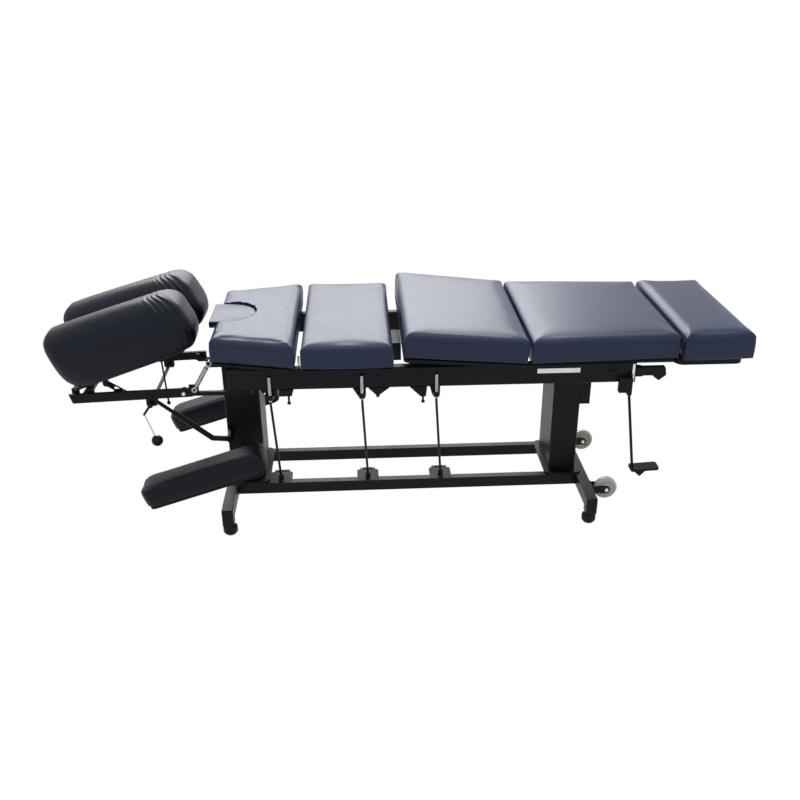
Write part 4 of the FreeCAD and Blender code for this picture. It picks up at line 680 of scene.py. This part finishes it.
def follow(mesh, start, moves):
    """Moves a fine mesh as the nearest coarse points moved, and never far."""
    tree = KDTree(len(start))
    for index, place in enumerate(start):
        tree.insert(place, index)
    tree.balance()
    for point in mesh.vertices:
        near = tree.find_n(point.co, near_points)
        shares = [1 / (distance + cover_grid / 10) for place, index, distance in near]
        move = Vector()
        for (place, index, distance), weight in zip(near, shares):
            move += moves[index] * (weight / sum(shares))
        if move.length > 0:
            point.co += move.normalized() * most_swell * math.tanh(move.length / most_swell)


# %% One cloth run for all of them
covers = [coarse_cover(made) for made in cushions]
starts = [[v.co.copy() for v in cover.data.vertices] for cover in covers]
for step in range(1, last_frame + 1):
    scene.frame_set(step)
shown = bpy.context.evaluated_depsgraph_get()
for made, cover, start in zip(cushions, covers, starts):
    pressed = cover.evaluated_get(shown).data
    moves = [v.co - place for v, place in zip(pressed.vertices, start)]
    follow(made.data, start, moves)
    print(made.name, len(start), "most swell", round(max(move.length for move in moves), 4))
    bpy.data.objects.remove(cover)
scene.frame_set(1)

# %% [markdown]
# ## Screws on the rails
# Small fasteners catch the light all along the frame. A cap screw is a short
# turned disc with a beveled rim and a sunk socket.

# %% Screw heads
def screw_head(place, outward, radius, height):
    """A cap screw head that stands on a face."""
    shape = bmesh.new()
    bmesh.ops.create_cone(shape, cap_ends=True, segments=20, radius1=radius, radius2=radius, depth=height)
    rim = [e for e in shape.edges if all(v.co.z > 0 for v in e.verts)]
    bmesh.ops.bevel(shape, geom=rim, offset=height * 0.25, segments=2, profile=0.5, affect="EDGES",
                    material=-1)
    cap = max(shape.faces, key=lambda f: (round(f.calc_center_median().z, 6), f.calc_area()))
    bmesh.ops.inset_region(shape, faces=[cap], thickness=radius * 0.35)
    bmesh.ops.translate(shape, verts=cap.verts, vec=(0, 0, -height * 0.5))
    bmesh.ops.translate(shape, verts=shape.verts, vec=(0, 0, height / 2))
    turn = Vector((0, 0, 1)).rotation_difference(Vector(outward)).to_matrix()
    bmesh.ops.rotate(shape, verts=shape.verts, cent=(0, 0, 0), matrix=turn)
    bmesh.ops.translate(shape, verts=shape.verts, vec=place)
    return shape


def screw_row(name, places, outward, radius, height, body, material):
    """Several screw heads as one piece."""
    whole = bmesh.new()
    for place in places:
        lower_into(whole, screw_head(place, outward, radius, height))
    return piece(name, whole, material, body)


rail_face = -0.245
rail_places = [at(-0.090, rail_face, 0.484), at(-0.099, rail_face, 0.473), at(0.014, rail_face, 0.486),
               at(0.023, rail_face, 0.500), at(0.559, rail_face, 0.4845), at(0.5735, rail_face, 0.481),
               at(-0.503, rail_face, 0.504)]
screw_row("rail_screws", rail_places, (0, -1, 0), 0.0045, 0.003, "base", frame_coat)
print("rail screws:", len(rail_places))

# %% [markdown]
# ## The camera
# The camera was solved from the straight edges of the frame, in pixels of
# the photograph: its focal length, the middle of its view and its place.

# %% The camera
picture_side = 800
focal_pixels = 937.94
middle_column = 428.916
middle_row = 447.045
film_width = 36.0
camera_place = at(-0.14031, -2.64309, 1.49464)
camera_data = bpy.data.cameras.new("photo_camera")
camera = bpy.data.objects.new("photo_camera", camera_data)
scene.collection.objects.link(camera)
scene.camera = camera
camera_data.sensor_width = film_width
camera_data.lens = film_width * focal_pixels / picture_side
camera_data.shift_x = (picture_side / 2 - middle_column) / picture_side
camera_data.shift_y = (middle_row - picture_side / 2) / picture_side
yaw, pitch, roll = (math.radians(v) for v in (4.5342, 27.1665, -0.4726))
ahead = Vector((math.sin(yaw) * math.cos(pitch), math.cos(yaw) * math.cos(pitch), -math.sin(pitch)))
level_right = Vector((math.cos(yaw), -math.sin(yaw), 0))
level_down = ahead.cross(level_right)
right = level_right * math.cos(roll) + level_down * math.sin(roll)
down = level_down * math.cos(roll) - level_right * math.sin(roll)
turn = Matrix((right, -down, -ahead)).transposed().to_4x4()
camera.matrix_world = Matrix.Translation(camera_place) @ turn
camera_data.clip_end = 100
print("camera at", [round(v, 3) for v in camera.matrix_world.translation])

# %% [markdown]
# ## The room
# The photograph's background is plain white, so the floor and the world
# show as white to the camera and in reflections. To the light on the table
# the floor is a dull grey, and the small share of it that the camera sees
# takes a faint shadow. A wide lamp behind the table and a weak one above it
# light the tops, and leave the near sides dark.

# %% Floor and world
def seen_directly(tree, path):
    """1 for a ray from the camera, a reflection or a clear surface, and 0 for the light on the table."""
    seen = Value(tree, path.outputs["Is Camera Ray"]) + Value(tree, path.outputs["Is Glossy Ray"])
    return (seen + Value(tree, path.outputs["Is Transmission Ray"])).clamp()


floor_reach = 400
floor_glow = 1.03
glow_share = 0.97
floor_shape = bmesh.new()
bmesh.ops.create_grid(floor_shape, x_segments=1, y_segments=1, size=floor_reach)
floor_mesh = bpy.data.meshes.new("floor")
floor_shape.to_mesh(floor_mesh)
floor_shape.free()
floor = bpy.data.objects.new("floor", floor_mesh)
scene.collection.objects.link(floor)
floor_finish = Finish("white_floor", Base_Color=(0.16, 0.16, 0.16, 1), Roughness=0.9)
rays = floor_finish.tree.nodes.new("ShaderNodeLightPath")
glow = floor_finish.tree.nodes.new("ShaderNodeEmission")
glow.inputs["Strength"].default_value = floor_glow
mixer = floor_finish.tree.nodes.new("ShaderNodeMixShader")
output = floor_finish.tree.nodes["Material Output"]
share = seen_directly(floor_finish.tree, rays) * glow_share
floor_finish.tree.links.new(share.socket, mixer.inputs[0])
floor_finish.tree.links.new(floor_finish.shader.outputs[0], mixer.inputs[1])
floor_finish.tree.links.new(glow.outputs[0], mixer.inputs[2])
floor_finish.tree.links.new(mixer.outputs[0], output.inputs[0])
floor_mesh.materials.append(floor_finish.material)

room_light = 0.42
world = bpy.data.worlds.new("white_room")
scene.world = world
world.use_nodes = True
sky = world.node_tree
background = sky.nodes["Background"]
path = sky.nodes.new("ShaderNodeLightPath")
level = seen_directly(sky, path) * (1 - room_light) + room_light
sky.links.new(level.socket, background.inputs["Strength"])
background.inputs["Color"].default_value = (1, 1, 1, 1)
print("white room of", 2 * floor_reach, "metres")


# %% Lamps
def lamp(name, place, target, power, width, height):
    """A soft rectangular lamp that faces a place on the table."""
    data = bpy.data.lights.new(name, "AREA")
    data.shape = "RECTANGLE"
    data.energy = power
    data.size = width
    data.size_y = height
    made = bpy.data.objects.new(name, data)
    made.location = place
    made.rotation_euler = (Vector(target) - Vector(place)).to_track_quat("-Z", "Y").to_euler()
    scene.collection.objects.link(made)


lamp("back_window", (-0.5, 3.0, 2.35), target=(-0.2, 0, 0.6), power=112, width=3.4, height=1.9)
lamp("top_soft", (0.0, -0.2, 3.2), target=(0, 0, 0.5), power=20, width=2.4, height=2.4)
print("room lit")
